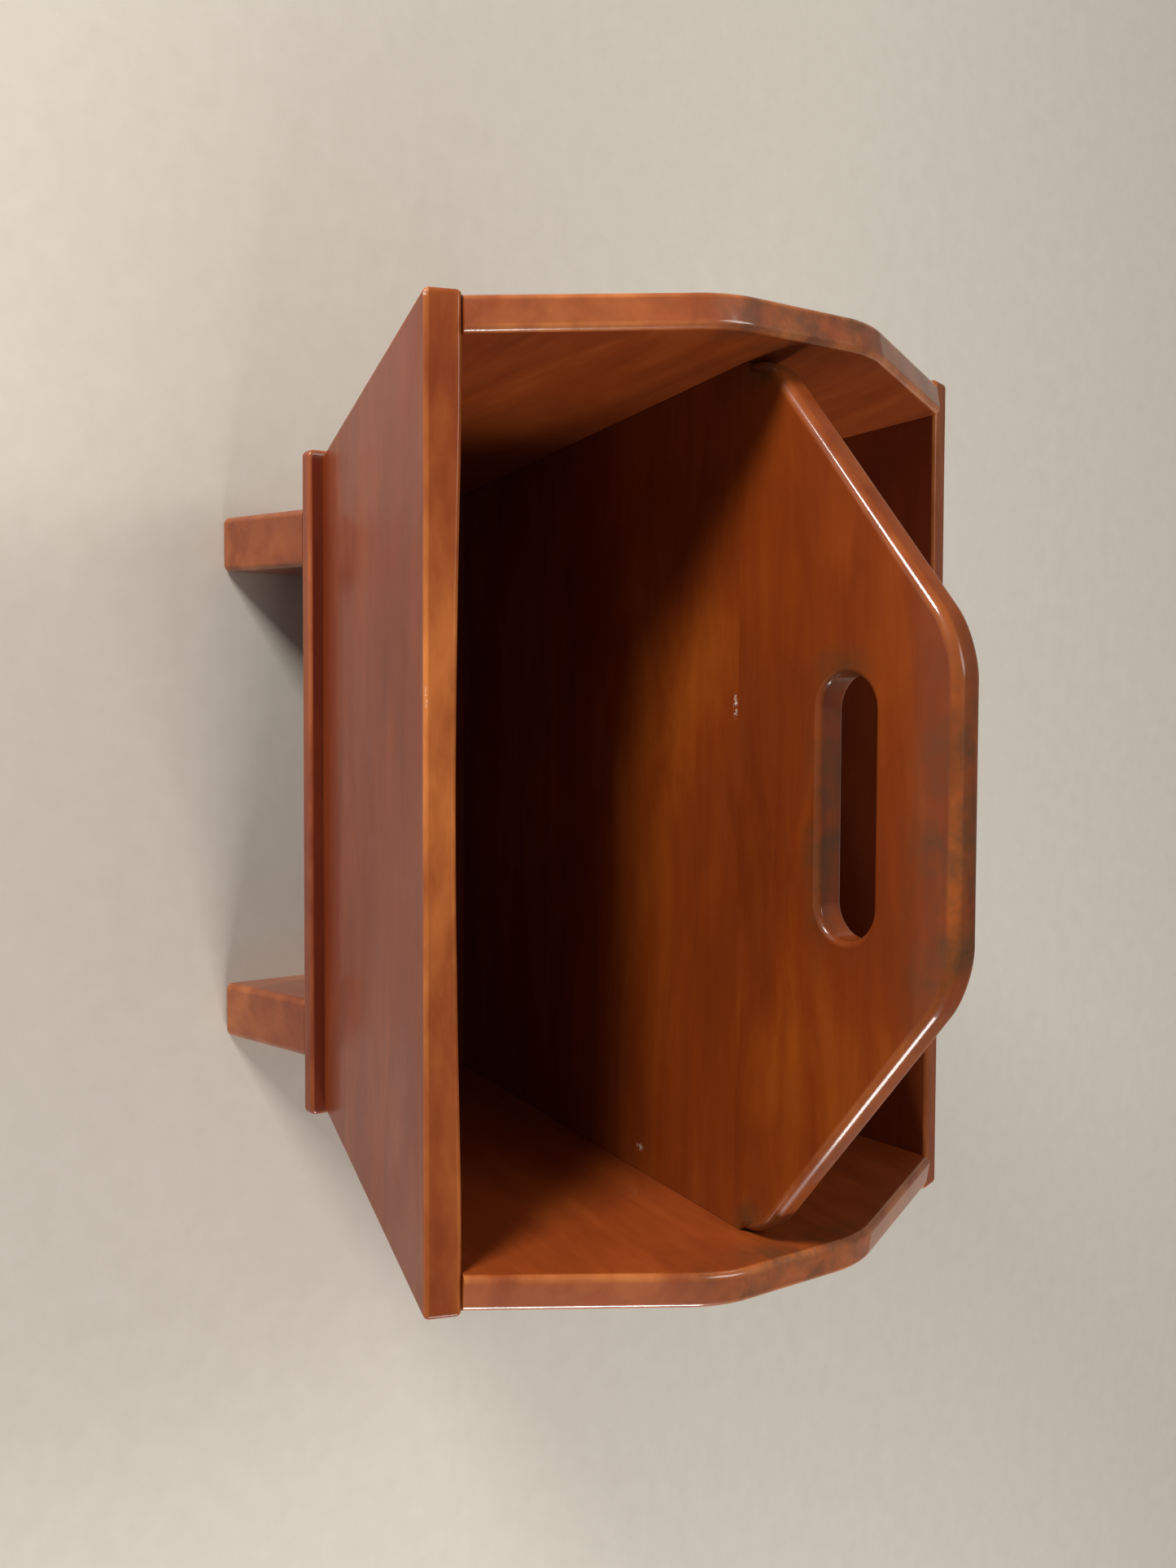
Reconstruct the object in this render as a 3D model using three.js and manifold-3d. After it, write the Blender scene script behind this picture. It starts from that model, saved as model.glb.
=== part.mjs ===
// Magazine rack: a canted wooden trough with a full-height centre divider that doubles as its handle,
// standing on a thin base plate and two board feet.
//
// Frame: millimetres, +Z up, +X to the right along the trough, -Y towards the front.
// Origin: on the floor, under the middle of the rack.
//
// The four walls lean outward, so each is drawn flat in a wall frame of its own (X along the wall,
// Y up its slope, Z straight out through it) and stood up by that frame.

import * as THREE from 'three';
import { mergeVertices } from 'three/addons/utils/BufferGeometryUtils.js';
import Module from 'manifold-3d';

const wasm = await Module();
wasm.setup();

// ---------------------------------------------------------------- driving dimensions

const BOARD = 16.5; // thickness of the walls and the divider
const GAP = 0.3; // clearance wherever two pieces meet

// Walls
const RIM_LENGTH = 434; // long panels, end to end along the outer top arris
const RIM_DEPTH = 336; // between the outer top arrises of the two long panels
const RIM_HEIGHT = 318; // floor to the outer top arris of a long panel
const LONG_SPLAY = THREE.MathUtils.degToRad(20.3); // lean of the front and back panels
const END_SPLAY = THREE.MathUtils.degToRad(10.3); // lean of the two end panels
const PANEL_OVERHANG = 3.3; // long panels reach this far past the end panels
const PANEL_CORNER = 3; // rounding of a long panel's two top corners
const PANEL_ARRIS = 2.4; // rounding along a long panel's edges

// End panels
const CREST_HEIGHT = 372.5; // floor to the crest's outer arris
const CREST_HALF = 45; // half the level part of the crest, to its unrounded corners
const CREST_RADIUS = 62; // rounding where the crest turns down
const END_ARRIS = 2.8;

// Centre divider
const DIVIDER_TOP = 468;
const DIVIDER_TOP_HALF = 73; // half the level top, to its unrounded corners
const DIVIDER_TOP_RADIUS = 48;
const SHOULDER_SLOPE = THREE.MathUtils.degToRad(40.4);
const SHOULDER_END_RADIUS = 22; // rounding where a shoulder drops to its end panel
const DIVIDER_ARRIS = 5;
const SLOT_HEIGHT = 407.5; // floor to the middle of the hand slot
const SLOT_HALF = 58.5; // half the slot's length
const SLOT_RADIUS = 16; // half the slot's height

// Bottom
const FOOT_HEIGHT = 93.3;
const BASE_THICKNESS = 8.7;
const LONG_LEDGE = 8; // base plate reaches this far past the long panels' feet
const END_LEDGE = 6.2; // and this far past the end panels' feet
const BASE_CORNER = 4;
const BASE_ARRIS = 2.2;
const FLOOR_THICKNESS = 19;

// Feet
const FOOT_WIDTH = 31.5; // along X
const FOOT_INSIDE = 118.3; // from the middle of the rack to a foot's inner face, at its top
const FOOT_SPLAY = 2.4; // sideways travel of a foot between its top and its toe
const FOOT_SETBACK = 0.8; // foot's front face, behind the base plate's edge
const FOOT_CORNER = 4.5;
const FOOT_ARRIS = 4;
const TOE_LENGTH = 54; // part of the foot that touches the floor, at front and at back
const ARCH_RISE = 22;

// Dowels
const DOWEL_RADIUS = 3;
const DOWEL_LENGTH = 25;
const DOWEL_CHAMFER = 0.7;
const DOWEL_IN_FACE = 10; // how far a dowel enters the board that it meets face on
const CORNER_DOWEL_HEIGHTS = [142, 210, 278];
const DIVIDER_DOWEL_HEIGHTS = [190, 290];
const FLOOR_DOWEL_X = 95;

// Countersunk screws
const SCREW_RADIUS = 2.1;
const SCREW_ROOT = 1.5;
const SCREW_HEAD_RADIUS = 4.1;
const SCREW_HEAD_EDGE = 0.4; // straight rim of the head, above its cone
const SCREW_HEAD_HEIGHT = 2.6;
const SCREW_PLAIN = 8; // unthreaded length under the head
const THREAD_PITCH = 3.2;
const SCREW_TIP = 4;
const BORE_LEAD = 2; // a bore is drawn this far out past the surface it starts from
const SLOT_WIDTH = 1.1; // driver slot
const SLOT_DEPTH = 1.2;
const SLOT_REACH = 12; // length of the slot's cutter, right across the head
const FOOT_SCREW_LENGTH = 38;
const FOOT_SCREW_Y = 62;
const BASE_SCREW_LENGTH = 24;
const BASE_SCREW_X = 78;
const BASE_SCREW_Y = 48;
const DIVIDER_SCREW_LENGTH = 44;
const DIVIDER_SCREW_X = 92;

// Fineness
const ARC_STEP = THREE.MathUtils.degToRad(9);
const ARRIS_STEPS = 3;
const ROUND_SIDES = 14; // of a dowel, a bore and half the hand slot
const SCREW_SIDES = 12;
const WELD = 1e-4; // vertices nearer than this are one
const SPACE = 900; // side of the blocks that trim a board to a plane
const TRIM = 12; // how far a board is drawn past the plane that trims it

// ---------------------------------------------------------------- derived sizes

const BODY_BOTTOM = FOOT_HEIGHT + BASE_THICKNESS; // the walls stand on the base plate here
const FLOOR_TOP = BODY_BOTTOM + GAP + FLOOR_THICKNESS;
const END_INSET = RIM_LENGTH / 2 - PANEL_OVERHANG;

/** Distance up a wall's slope at which its outer face reaches the height z. */
function slopeLengthTo(z, splay) {
  return (z - BODY_BOTTOM + BOARD * Math.sin(splay)) / Math.cos(splay);
}

/** Distance from the middle to a wall's outer face at the level of the base plate. */
function outerFoot(outerAtRim, splay) {
  return outerAtRim - (RIM_HEIGHT - BODY_BOTTOM) * Math.tan(splay);
}

const LONG_FOOT = outerFoot(RIM_DEPTH / 2, LONG_SPLAY);
const END_FOOT = outerFoot(END_INSET, END_SPLAY);
const BASE_LENGTH = 2 * (END_FOOT + END_LEDGE);
const BASE_DEPTH = 2 * (LONG_FOOT + LONG_LEDGE);

// ---------------------------------------------------------------- solids

/** A closed three.js geometry as a manifold solid. */
function toSolid(geometry) {
  const bare = geometry.clone();
  bare.deleteAttribute('normal');
  bare.deleteAttribute('uv');
  const welded = mergeVertices(bare, WELD);
  return new wasm.Manifold(new wasm.Mesh({
    numProp: 3,
    vertProperties: Float32Array.from(welded.attributes.position.array),
    triVerts: Uint32Array.from(welded.index.array),
  }));
}

/** A manifold solid as a three.js geometry. */
function toGeometry(solid) {
  const { vertProperties, triVerts } = solid.getMesh();
  const geometry = new THREE.BufferGeometry();
  geometry.setAttribute('position', new THREE.BufferAttribute(vertProperties, 3));
  geometry.setIndex(new THREE.BufferAttribute(triVerts, 1));
  geometry.computeVertexNormals();
  return geometry;
}

/** Cuts world-space cutters out of a geometry that is drawn in the given frame. */
function cut(geometry, frame, cutters) {
  const toFrame = frame.clone().invert();
  let solid = toSolid(geometry);
  for (const cutter of cutters) {
    solid = solid.subtract(toSolid(cutter.clone().applyMatrix4(toFrame)));
  }
  return toGeometry(solid);
}

/** Points of a closed outline whose corners, given as [x, y, radius], are rounded by arcs. */
function roundedOutline(corners) {
  const points = [];
  corners.forEach(([x, y, radius], i) => {
    const corner = new THREE.Vector2(x, y);
    if (radius === 0) {
      points.push(corner);
      return;
    }
    const [px, py] = corners[(i + corners.length - 1) % corners.length];
    const [nx, ny] = corners[(i + 1) % corners.length];
    const back = new THREE.Vector2(px - x, py - y).normalize();
    const ahead = new THREE.Vector2(nx - x, ny - y).normalize();
    const half = Math.acos(THREE.MathUtils.clamp(back.dot(ahead), -1, 1)) / 2;
    const middle = back.clone().add(ahead).normalize().multiplyScalar(radius / Math.sin(half));
    const centre = corner.clone().add(middle);
    const start = corner.clone().addScaledVector(back, radius / Math.tan(half)).sub(centre);
    const turn = (Math.PI - 2 * half) * Math.sign(back.cross(ahead)) * -1;
    const steps = Math.max(2, Math.ceil(Math.abs(turn) / ARC_STEP));
    for (let k = 0; k <= steps; k += 1) {
      const point = start.clone().rotateAround(new THREE.Vector2(), (turn * k) / steps);
      points.push(point.add(centre));
    }
  });
  return points;
}

/** A board with rounded arrises: the outline lies in XY and the board fills Z from 0 to thickness. */
function board(outline, thickness, arris, holes = []) {
  const shape = new THREE.Shape(outline);
  for (const hole of holes) {
    shape.holes.push(new THREE.Path(hole));
  }
  const geometry = new THREE.ExtrudeGeometry(shape, {
    depth: thickness - 2 * arris,
    bevelEnabled: true,
    bevelThickness: arris,
    bevelSize: arris,
    bevelOffset: -arris,
    bevelSegments: ARRIS_STEPS,
  });
  return geometry.translate(0, 0, arris);
}

/** A block that fills everything below the height z. */
function spaceBelow(z) {
  return new THREE.BoxGeometry(SPACE, SPACE, SPACE).translate(0, 0, z - SPACE / 2);
}

/** A block that fills everything outside a wall's inner face, and the clearance in front of it. */
function spaceOutside(frame) {
  const block = new THREE.BoxGeometry(SPACE, SPACE, SPACE);
  return block.translate(0, 0, SPACE / 2 - GAP).applyMatrix4(frame);
}

// ---------------------------------------------------------------- frames

const FRONT = -Math.PI / 2;
const RIGHT = 0;
const BACK = Math.PI / 2;
const LEFT = Math.PI;

/** Frame of a wall that faces the heading: on its inner face, level with the base plate's top. */
function wallFrame(heading, splay, foot) {
  const out = new THREE.Vector3(Math.cos(heading), Math.sin(heading), 0);
  const up = new THREE.Vector3(0, 0, 1);
  const along = up.clone().cross(out);
  const slope = out.clone().multiplyScalar(Math.sin(splay)).addScaledVector(up, Math.cos(splay));
  const normal = out.clone().multiplyScalar(Math.cos(splay)).addScaledVector(up, -Math.sin(splay));
  const origin = out.multiplyScalar(foot - BOARD / Math.cos(splay)).setZ(BODY_BOTTOM);
  return new THREE.Matrix4().makeBasis(along, slope, normal).setPosition(origin);
}

/** Frame whose +Y points along the direction, at the given place. */
function pegFrame(origin, direction) {
  const turn = new THREE.Quaternion().setFromUnitVectors(new THREE.Vector3(0, 1, 0), direction);
  return new THREE.Matrix4().makeRotationFromQuaternion(turn).setPosition(origin);
}

const FRONT_FRAME = wallFrame(FRONT, LONG_SPLAY, LONG_FOOT);
const BACK_FRAME = wallFrame(BACK, LONG_SPLAY, LONG_FOOT);
const RIGHT_FRAME = wallFrame(RIGHT, END_SPLAY, END_FOOT);
const LEFT_FRAME = wallFrame(LEFT, END_SPLAY, END_FOOT);

// The divider stands in the XZ plane: X along the rack, Y up, Z towards the front.
const DIVIDER_FRAME = new THREE.Matrix4().makeRotationX(Math.PI / 2).setPosition(0, BOARD / 2, 0);

// ---------------------------------------------------------------- materials

/** A lacquered or bare material of the given colour. */
function material(color, roughness, metalness = 0) {
  return new THREE.MeshStandardMaterial({ color, roughness, metalness });
}

const cherry = () => material(0x8a3a1e, 0.34);
const amberCherry = () => material(0x9a4a1c, 0.34);
const darkCherry = () => material(0x6e2c1c, 0.38);
const bareBirch = () => material(0xcaa878, 0.75);
const steel = () => material(0x9a9a98, 0.4, 1);

// ---------------------------------------------------------------- scene

const rack = new THREE.Group();
rack.name = 'magazine_rack';

/** Adds a mesh that is drawn in the frame's own coordinates. */
function place(name, geometry, look, frame = new THREE.Matrix4()) {
  const mesh = new THREE.Mesh(geometry, look);
  mesh.name = name;
  mesh.applyMatrix4(frame);
  rack.add(mesh);
}

// ---------------------------------------------------------------- dowels

/** The world-space place of a dowel's middle and its direction, from a point on the joint's face. */
function dowelAt(name, point, direction, inFace) {
  const centre = point.clone().addScaledVector(direction, DOWEL_LENGTH / 2 - inFace);
  return { name, frame: pegFrame(centre, direction) };
}

/** Dowels that tie each end panel's two edges to the front and back panels. */
function cornerDowels() {
  const dowels = [];
  const walls = [['front', FRONT_FRAME, 1], ['back', BACK_FRAME, -1]];
  for (const [wall, frame, side] of walls) {
    const inward = new THREE.Vector3().setFromMatrixColumn(frame, 2).negate();
    for (const [end, sign] of [['left', -side], ['right', side]]) {
      CORNER_DOWEL_HEIGHTS.forEach((height, i) => {
        const slope = (height - BODY_BOTTOM) / Math.cos(LONG_SPLAY);
        const middle = END_FOOT - BOARD / 2 / Math.cos(END_SPLAY);
        const x = middle + (height - BODY_BOTTOM) * Math.tan(END_SPLAY);
        const point = new THREE.Vector3(sign * x, slope, 0).applyMatrix4(frame);
        dowels.push(dowelAt(`${wall}_${end}_corner_dowel_${i + 1}`, point, inward, DOWEL_IN_FACE));
      });
    }
  }
  return dowels;
}

/** Dowels that tie the divider's two ends to the end panels. */
function dividerDowels() {
  const dowels = [];
  for (const [end, frame] of [['left', LEFT_FRAME], ['right', RIGHT_FRAME]]) {
    const inward = new THREE.Vector3().setFromMatrixColumn(frame, 2).negate();
    DIVIDER_DOWEL_HEIGHTS.forEach((height, i) => {
      const slope = (height - BODY_BOTTOM) / Math.cos(END_SPLAY);
      const point = new THREE.Vector3(0, slope, 0).applyMatrix4(frame);
      dowels.push(dowelAt(`divider_${end}_dowel_${i + 1}`, point, inward, DOWEL_IN_FACE));
    });
  }
  return dowels;
}

/** Dowels that tie the floor board's long edges to the front and back panels. */
function floorDowels() {
  const dowels = [];
  for (const [wall, frame] of [['front', FRONT_FRAME], ['back', BACK_FRAME]]) {
    const inward = new THREE.Vector3().setFromMatrixColumn(frame, 2).negate();
    const slope = (FLOOR_THICKNESS / 2 - DOWEL_RADIUS) / Math.cos(LONG_SPLAY);
    [-FLOOR_DOWEL_X, FLOOR_DOWEL_X].forEach((x, i) => {
      const point = new THREE.Vector3(x, slope, 0).applyMatrix4(frame);
      dowels.push(dowelAt(`${wall}_floor_dowel_${i + 1}`, point, inward, DOWEL_IN_FACE));
    });
  }
  return dowels;
}

/** The hole that a dowel sits in. */
function dowelBore(dowel) {
  const length = DOWEL_LENGTH + 2 * GAP;
  const bore = new THREE.CylinderGeometry(DOWEL_RADIUS + GAP, DOWEL_RADIUS + GAP, length, ROUND_SIDES);
  return bore.applyMatrix4(dowel.frame);
}

/** A chamfered dowel about its own Y axis. */
function dowelGeometry() {
  const half = DOWEL_LENGTH / 2;
  const profile = [
    new THREE.Vector2(0, -half),
    new THREE.Vector2(DOWEL_RADIUS - DOWEL_CHAMFER, -half),
    new THREE.Vector2(DOWEL_RADIUS, -half + DOWEL_CHAMFER),
    new THREE.Vector2(DOWEL_RADIUS, half - DOWEL_CHAMFER),
    new THREE.Vector2(DOWEL_RADIUS - DOWEL_CHAMFER, half),
    new THREE.Vector2(0, half),
  ];
  return new THREE.LatheGeometry(profile, ROUND_SIDES);
}

// ---------------------------------------------------------------- screws

/** A screw's head sits at the origin with its top facing -Y; the shank runs along +Y. */
function screwGeometry(length) {
  const profile = [
    new THREE.Vector2(0, 0),
    new THREE.Vector2(SCREW_HEAD_RADIUS, 0),
    new THREE.Vector2(SCREW_HEAD_RADIUS, SCREW_HEAD_EDGE),
    new THREE.Vector2(SCREW_RADIUS, SCREW_HEAD_HEIGHT),
    new THREE.Vector2(SCREW_RADIUS, SCREW_PLAIN),
  ];
  for (let y = SCREW_PLAIN; y < length - SCREW_TIP - THREAD_PITCH; y += THREAD_PITCH) {
    profile.push(new THREE.Vector2(SCREW_ROOT, y + THREAD_PITCH / 3));
    profile.push(new THREE.Vector2(SCREW_RADIUS, y + THREAD_PITCH));
  }
  profile.push(new THREE.Vector2(SCREW_ROOT, length - SCREW_TIP));
  profile.push(new THREE.Vector2(0, length));
  const slot = new THREE.BoxGeometry(SLOT_REACH, 2 * SLOT_DEPTH, SLOT_WIDTH);
  return cut(new THREE.LatheGeometry(profile, SCREW_SIDES), new THREE.Matrix4(), [slot]);
}

/** The countersunk hole that a screw sits in. */
function screwBore(screw) {
  const profile = [
    new THREE.Vector2(0, -BORE_LEAD),
    new THREE.Vector2(SCREW_HEAD_RADIUS + GAP, -BORE_LEAD),
    new THREE.Vector2(SCREW_HEAD_RADIUS + GAP, SCREW_HEAD_EDGE + GAP),
    new THREE.Vector2(SCREW_RADIUS + GAP, SCREW_HEAD_HEIGHT + GAP),
    new THREE.Vector2(SCREW_RADIUS + GAP, screw.length + GAP),
    new THREE.Vector2(0, screw.length + GAP),
  ];
  return new THREE.LatheGeometry(profile, ROUND_SIDES).applyMatrix4(screw.frame);
}

const UP = new THREE.Vector3(0, 0, 1);
const DOWN = new THREE.Vector3(0, 0, -1);

/** Screws that hold each foot, driven down through the base plate before the body goes on. */
function footScrews() {
  const x = FOOT_INSIDE + FOOT_WIDTH / 2;
  const places = [['left_front', -1, -1], ['left_back', -1, 1], ['right_front', 1, -1], ['right_back', 1, 1]];
  return places.map(([corner, sideX, sideY]) => ({
    name: `${corner}_foot_screw`,
    length: FOOT_SCREW_LENGTH,
    frame: pegFrame(new THREE.Vector3(sideX * x, sideY * FOOT_SCREW_Y, BODY_BOTTOM), DOWN),
  }));
}

/** Screws that hold the body, driven up through the base plate into the floor board. */
function baseScrews() {
  const places = [['left_front', -1, -1], ['left_back', -1, 1], ['right_front', 1, -1], ['right_back', 1, 1]];
  return places.map(([corner, sideX, sideY]) => ({
    name: `${corner}_base_screw`,
    length: BASE_SCREW_LENGTH,
    frame: pegFrame(new THREE.Vector3(sideX * BASE_SCREW_X, sideY * BASE_SCREW_Y, FOOT_HEIGHT), UP),
  }));
}

/** Screws that hold the divider, driven up through the floor board. */
function dividerScrews() {
  return [['left', -1], ['right', 1]].map(([end, side]) => ({
    name: `${end}_divider_screw`,
    length: DIVIDER_SCREW_LENGTH,
    frame: pegFrame(new THREE.Vector3(side * DIVIDER_SCREW_X, 0, BODY_BOTTOM + GAP), UP),
  }));
}

const dowels = { corner: cornerDowels(), divider: dividerDowels(), floor: floorDowels() };
const screws = { foot: footScrews(), base: baseScrews(), divider: dividerScrews() };
const cornerBores = dowels.corner.map(dowelBore);
const dividerBores = dowels.divider.map(dowelBore);
const floorBores = dowels.floor.map(dowelBore);

// ---------------------------------------------------------------- walls

/** Front or back panel: a trapezoid, wider at the rim, trimmed level where it stands on the base. */
function longPanel(frame) {
  const rim = slopeLengthTo(RIM_HEIGHT, LONG_SPLAY);
  const lean = Math.cos(LONG_SPLAY) * Math.tan(END_SPLAY);
  const halfAt = (slope) => RIM_LENGTH / 2 - (rim - slope) * lean;
  const outline = roundedOutline([
    [-halfAt(-TRIM), -TRIM, 0],
    [halfAt(-TRIM), -TRIM, 0],
    [halfAt(rim), rim, PANEL_CORNER],
    [-halfAt(rim), rim, PANEL_CORNER],
  ]);
  const cutters = [spaceBelow(BODY_BOTTOM + GAP), ...cornerBores, ...floorBores];
  return cut(board(outline, BOARD, PANEL_ARRIS), frame, cutters);
}

/** End panel: its edge climbs from the rim to a short level crest, and it fits between the panels. */
function endPanel(frame) {
  const rimInner = RIM_DEPTH / 2 - BOARD * Math.cos(LONG_SPLAY);
  const rimInnerHeight = RIM_HEIGHT + BOARD * Math.sin(LONG_SPLAY);
  const crest = slopeLengthTo(CREST_HEIGHT, END_SPLAY);
  const rim = slopeLengthTo(rimInnerHeight, END_SPLAY);
  const fall = (crest - rim) / (rimInner - CREST_HALF);
  const reach = rimInner + TRIM;
  const edge = rim - TRIM * fall;
  const outline = roundedOutline([
    [-reach, -TRIM, 0],
    [reach, -TRIM, 0],
    [reach, edge, 0],
    [CREST_HALF, crest, CREST_RADIUS],
    [-CREST_HALF, crest, CREST_RADIUS],
    [-reach, edge, 0],
  ]);
  const cutters = [
    spaceBelow(BODY_BOTTOM + GAP),
    spaceOutside(FRONT_FRAME),
    spaceOutside(BACK_FRAME),
    ...cornerBores,
    ...dividerBores,
  ];
  return cut(board(outline, BOARD, END_ARRIS), frame, cutters);
}

// ---------------------------------------------------------------- divider

/** Inner face of an end panel, as a distance from the middle at the height z. */
function endInnerAt(z) {
  return END_FOOT - BOARD / Math.cos(END_SPLAY) + (z - BODY_BOTTOM) * Math.tan(END_SPLAY);
}

/** Stadium outline of the hand slot. */
function handSlot() {
  const straight = SLOT_HALF - SLOT_RADIUS;
  const path = new THREE.Path();
  path.absarc(straight, SLOT_HEIGHT, SLOT_RADIUS, -Math.PI / 2, Math.PI / 2, false);
  path.absarc(-straight, SLOT_HEIGHT, SLOT_RADIUS, Math.PI / 2, (3 * Math.PI) / 2, false);
  return path.getPoints(ROUND_SIDES);
}

/** Centre divider: level top, sloping shoulders that round down to the end panels, hand slot. */
function centerDivider() {
  const drop = Math.tan(SHOULDER_SLOPE);
  const lean = Math.tan(END_SPLAY);
  const innerAtTop = endInnerAt(DIVIDER_TOP) - GAP / Math.cos(END_SPLAY);
  const run = (innerAtTop - DIVIDER_TOP_HALF) / (1 + drop * lean);
  const shoulderX = DIVIDER_TOP_HALF + run;
  const shoulderZ = DIVIDER_TOP - run * drop;
  const footZ = FLOOR_TOP - TRIM;
  const footX = shoulderX - (shoulderZ - footZ) * lean;
  const outline = roundedOutline([
    [-footX, footZ, 0],
    [footX, footZ, 0],
    [shoulderX, shoulderZ, SHOULDER_END_RADIUS],
    [DIVIDER_TOP_HALF, DIVIDER_TOP, DIVIDER_TOP_RADIUS],
    [-DIVIDER_TOP_HALF, DIVIDER_TOP, DIVIDER_TOP_RADIUS],
    [-shoulderX, shoulderZ, SHOULDER_END_RADIUS],
  ]);
  const cutters = [spaceBelow(FLOOR_TOP + GAP), ...dividerBores, ...screws.divider.map(screwBore)];
  return cut(board(outline, BOARD, DIVIDER_ARRIS, [handSlot()]), DIVIDER_FRAME, cutters);
}

// ---------------------------------------------------------------- bottom

/** Floor of the trough: its four edges are planed to the lean of the walls around it. */
function floorBoard() {
  const blank = new THREE.BoxGeometry(2 * END_INSET, RIM_DEPTH, FLOOR_THICKNESS);
  blank.translate(0, 0, FLOOR_TOP - FLOOR_THICKNESS / 2);
  const cutters = [
    ...[FRONT_FRAME, BACK_FRAME, LEFT_FRAME, RIGHT_FRAME].map(spaceOutside),
    ...floorBores,
    ...screws.base.map(screwBore),
    ...screws.divider.map(screwBore),
  ];
  return cut(blank, new THREE.Matrix4(), cutters);
}

/** Base plate: a thin board whose eased edge shows as a ledge around the foot of the walls. */
function basePlate() {
  const x = BASE_LENGTH / 2;
  const y = BASE_DEPTH / 2;
  const outline = roundedOutline([
    [-x, -y, BASE_CORNER],
    [x, -y, BASE_CORNER],
    [x, y, BASE_CORNER],
    [-x, y, BASE_CORNER],
  ]);
  const plate = board(outline, BASE_THICKNESS, BASE_ARRIS).translate(0, 0, FOOT_HEIGHT);
  return cut(plate, new THREE.Matrix4(), [...screws.foot, ...screws.base].map(screwBore));
}

/** Foot: a board on edge, front to back, arched underneath so that it stands on two toes. */
function foot(side) {
  const reach = BASE_DEPTH / 2 - FOOT_SETBACK;
  const top = FOOT_HEIGHT - GAP;
  const archHalf = reach - TOE_LENGTH;
  const archRadius = (archHalf ** 2 + ARCH_RISE ** 2) / (2 * ARCH_RISE);
  const archTurn = Math.asin(archHalf / archRadius);
  const arch = new THREE.Path();
  const start = Math.PI / 2 + archTurn;
  const end = Math.PI / 2 - archTurn;
  arch.absarc(0, ARCH_RISE - archRadius, archRadius, start, end, true);
  const archPoints = arch.getPoints(ROUND_SIDES).map((point) => [point.x, point.y, 0]);
  const outline = roundedOutline([
    [-reach, 0, FOOT_CORNER],
    ...archPoints,
    [reach, 0, FOOT_CORNER],
    [reach, top, 0],
    [-reach, top, 0],
  ]);
  // Drawn in YZ with its thickness along X, then sheared so that the toe stands a little outside.
  const upright = new THREE.Matrix4().makeBasis(
    new THREE.Vector3(0, 1, 0),
    new THREE.Vector3(0, 0, 1),
    new THREE.Vector3(1, 0, 0),
  );
  const geometry = board(outline, FOOT_WIDTH, FOOT_ARRIS).translate(0, 0, -FOOT_WIDTH / 2);
  geometry.applyMatrix4(upright);
  const lean = (-side * FOOT_SPLAY) / FOOT_HEIGHT;
  geometry.applyMatrix4(new THREE.Matrix4().makeShear(0, 0, 0, 0, lean, 0));
  const frame = new THREE.Matrix4().makeTranslation(
    side * (FOOT_INSIDE + FOOT_WIDTH / 2 + FOOT_SPLAY),
    0,
    0,
  );
  return { frame, geometry: cut(geometry, frame, screws.foot.map(screwBore)) };
}

// ---------------------------------------------------------------- assembly

place('front_panel', longPanel(FRONT_FRAME), cherry(), FRONT_FRAME);
place('back_panel', longPanel(BACK_FRAME), cherry(), BACK_FRAME);
place('left_end_panel', endPanel(LEFT_FRAME), cherry(), LEFT_FRAME);
place('right_end_panel', endPanel(RIGHT_FRAME), cherry(), RIGHT_FRAME);
place('center_divider', centerDivider(), amberCherry(), DIVIDER_FRAME);
place('floor_board', floorBoard(), darkCherry());
place('base_plate', basePlate(), darkCherry());

for (const [name, side] of [['left_foot', -1], ['right_foot', 1]]) {
  const { frame, geometry } = foot(side);
  place(name, geometry, cherry(), frame);
}
for (const dowel of [...dowels.corner, ...dowels.divider, ...dowels.floor]) {
  place(dowel.name, dowelGeometry(), bareBirch(), dowel.frame);
}
for (const screw of [...screws.foot, ...screws.base, ...screws.divider]) {
  place(screw.name, screwGeometry(screw.length), steel(), screw.frame);
}

export default rack;
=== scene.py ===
"""Magazine rack in lacquered cherry: a canted trough, a tall centre divider with a hand slot,
a thin ledged base plate and two arched board feet.

Every length is in metres, in the frame's own axes: X along the trough, -Y to the front, Z up.
Boards are drawn flat in a frame of their own (X along the board, Y up it, Z through it) and then
stood up, so their rounded corners and arrises are worked square before the board leans.
"""

from __future__ import annotations

import logging
import math
from abc import ABC, abstractmethod
from collections.abc import Callable, Iterable
from dataclasses import dataclass, field
from enum import Enum

import bmesh
import bpy
from mathutils import Matrix, Vector


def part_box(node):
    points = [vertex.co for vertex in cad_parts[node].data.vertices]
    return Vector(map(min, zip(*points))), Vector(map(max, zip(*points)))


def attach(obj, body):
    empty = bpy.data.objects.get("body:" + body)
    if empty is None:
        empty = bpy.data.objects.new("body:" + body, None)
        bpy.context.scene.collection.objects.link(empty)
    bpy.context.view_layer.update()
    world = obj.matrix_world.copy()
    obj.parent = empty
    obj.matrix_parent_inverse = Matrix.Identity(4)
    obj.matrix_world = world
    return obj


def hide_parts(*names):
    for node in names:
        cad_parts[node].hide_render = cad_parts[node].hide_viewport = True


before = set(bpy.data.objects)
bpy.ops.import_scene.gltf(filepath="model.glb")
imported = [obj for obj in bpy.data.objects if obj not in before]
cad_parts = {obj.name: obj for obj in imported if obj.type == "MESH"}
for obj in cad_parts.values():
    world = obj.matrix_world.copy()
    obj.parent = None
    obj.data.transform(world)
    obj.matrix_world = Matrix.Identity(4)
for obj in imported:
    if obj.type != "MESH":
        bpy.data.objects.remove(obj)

LOG = logging.getLogger("magazine_rack")
ROOT = "root"
MM = 0.001
MERGE = 1e-6
TOUCH = 0.02 * MM
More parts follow.
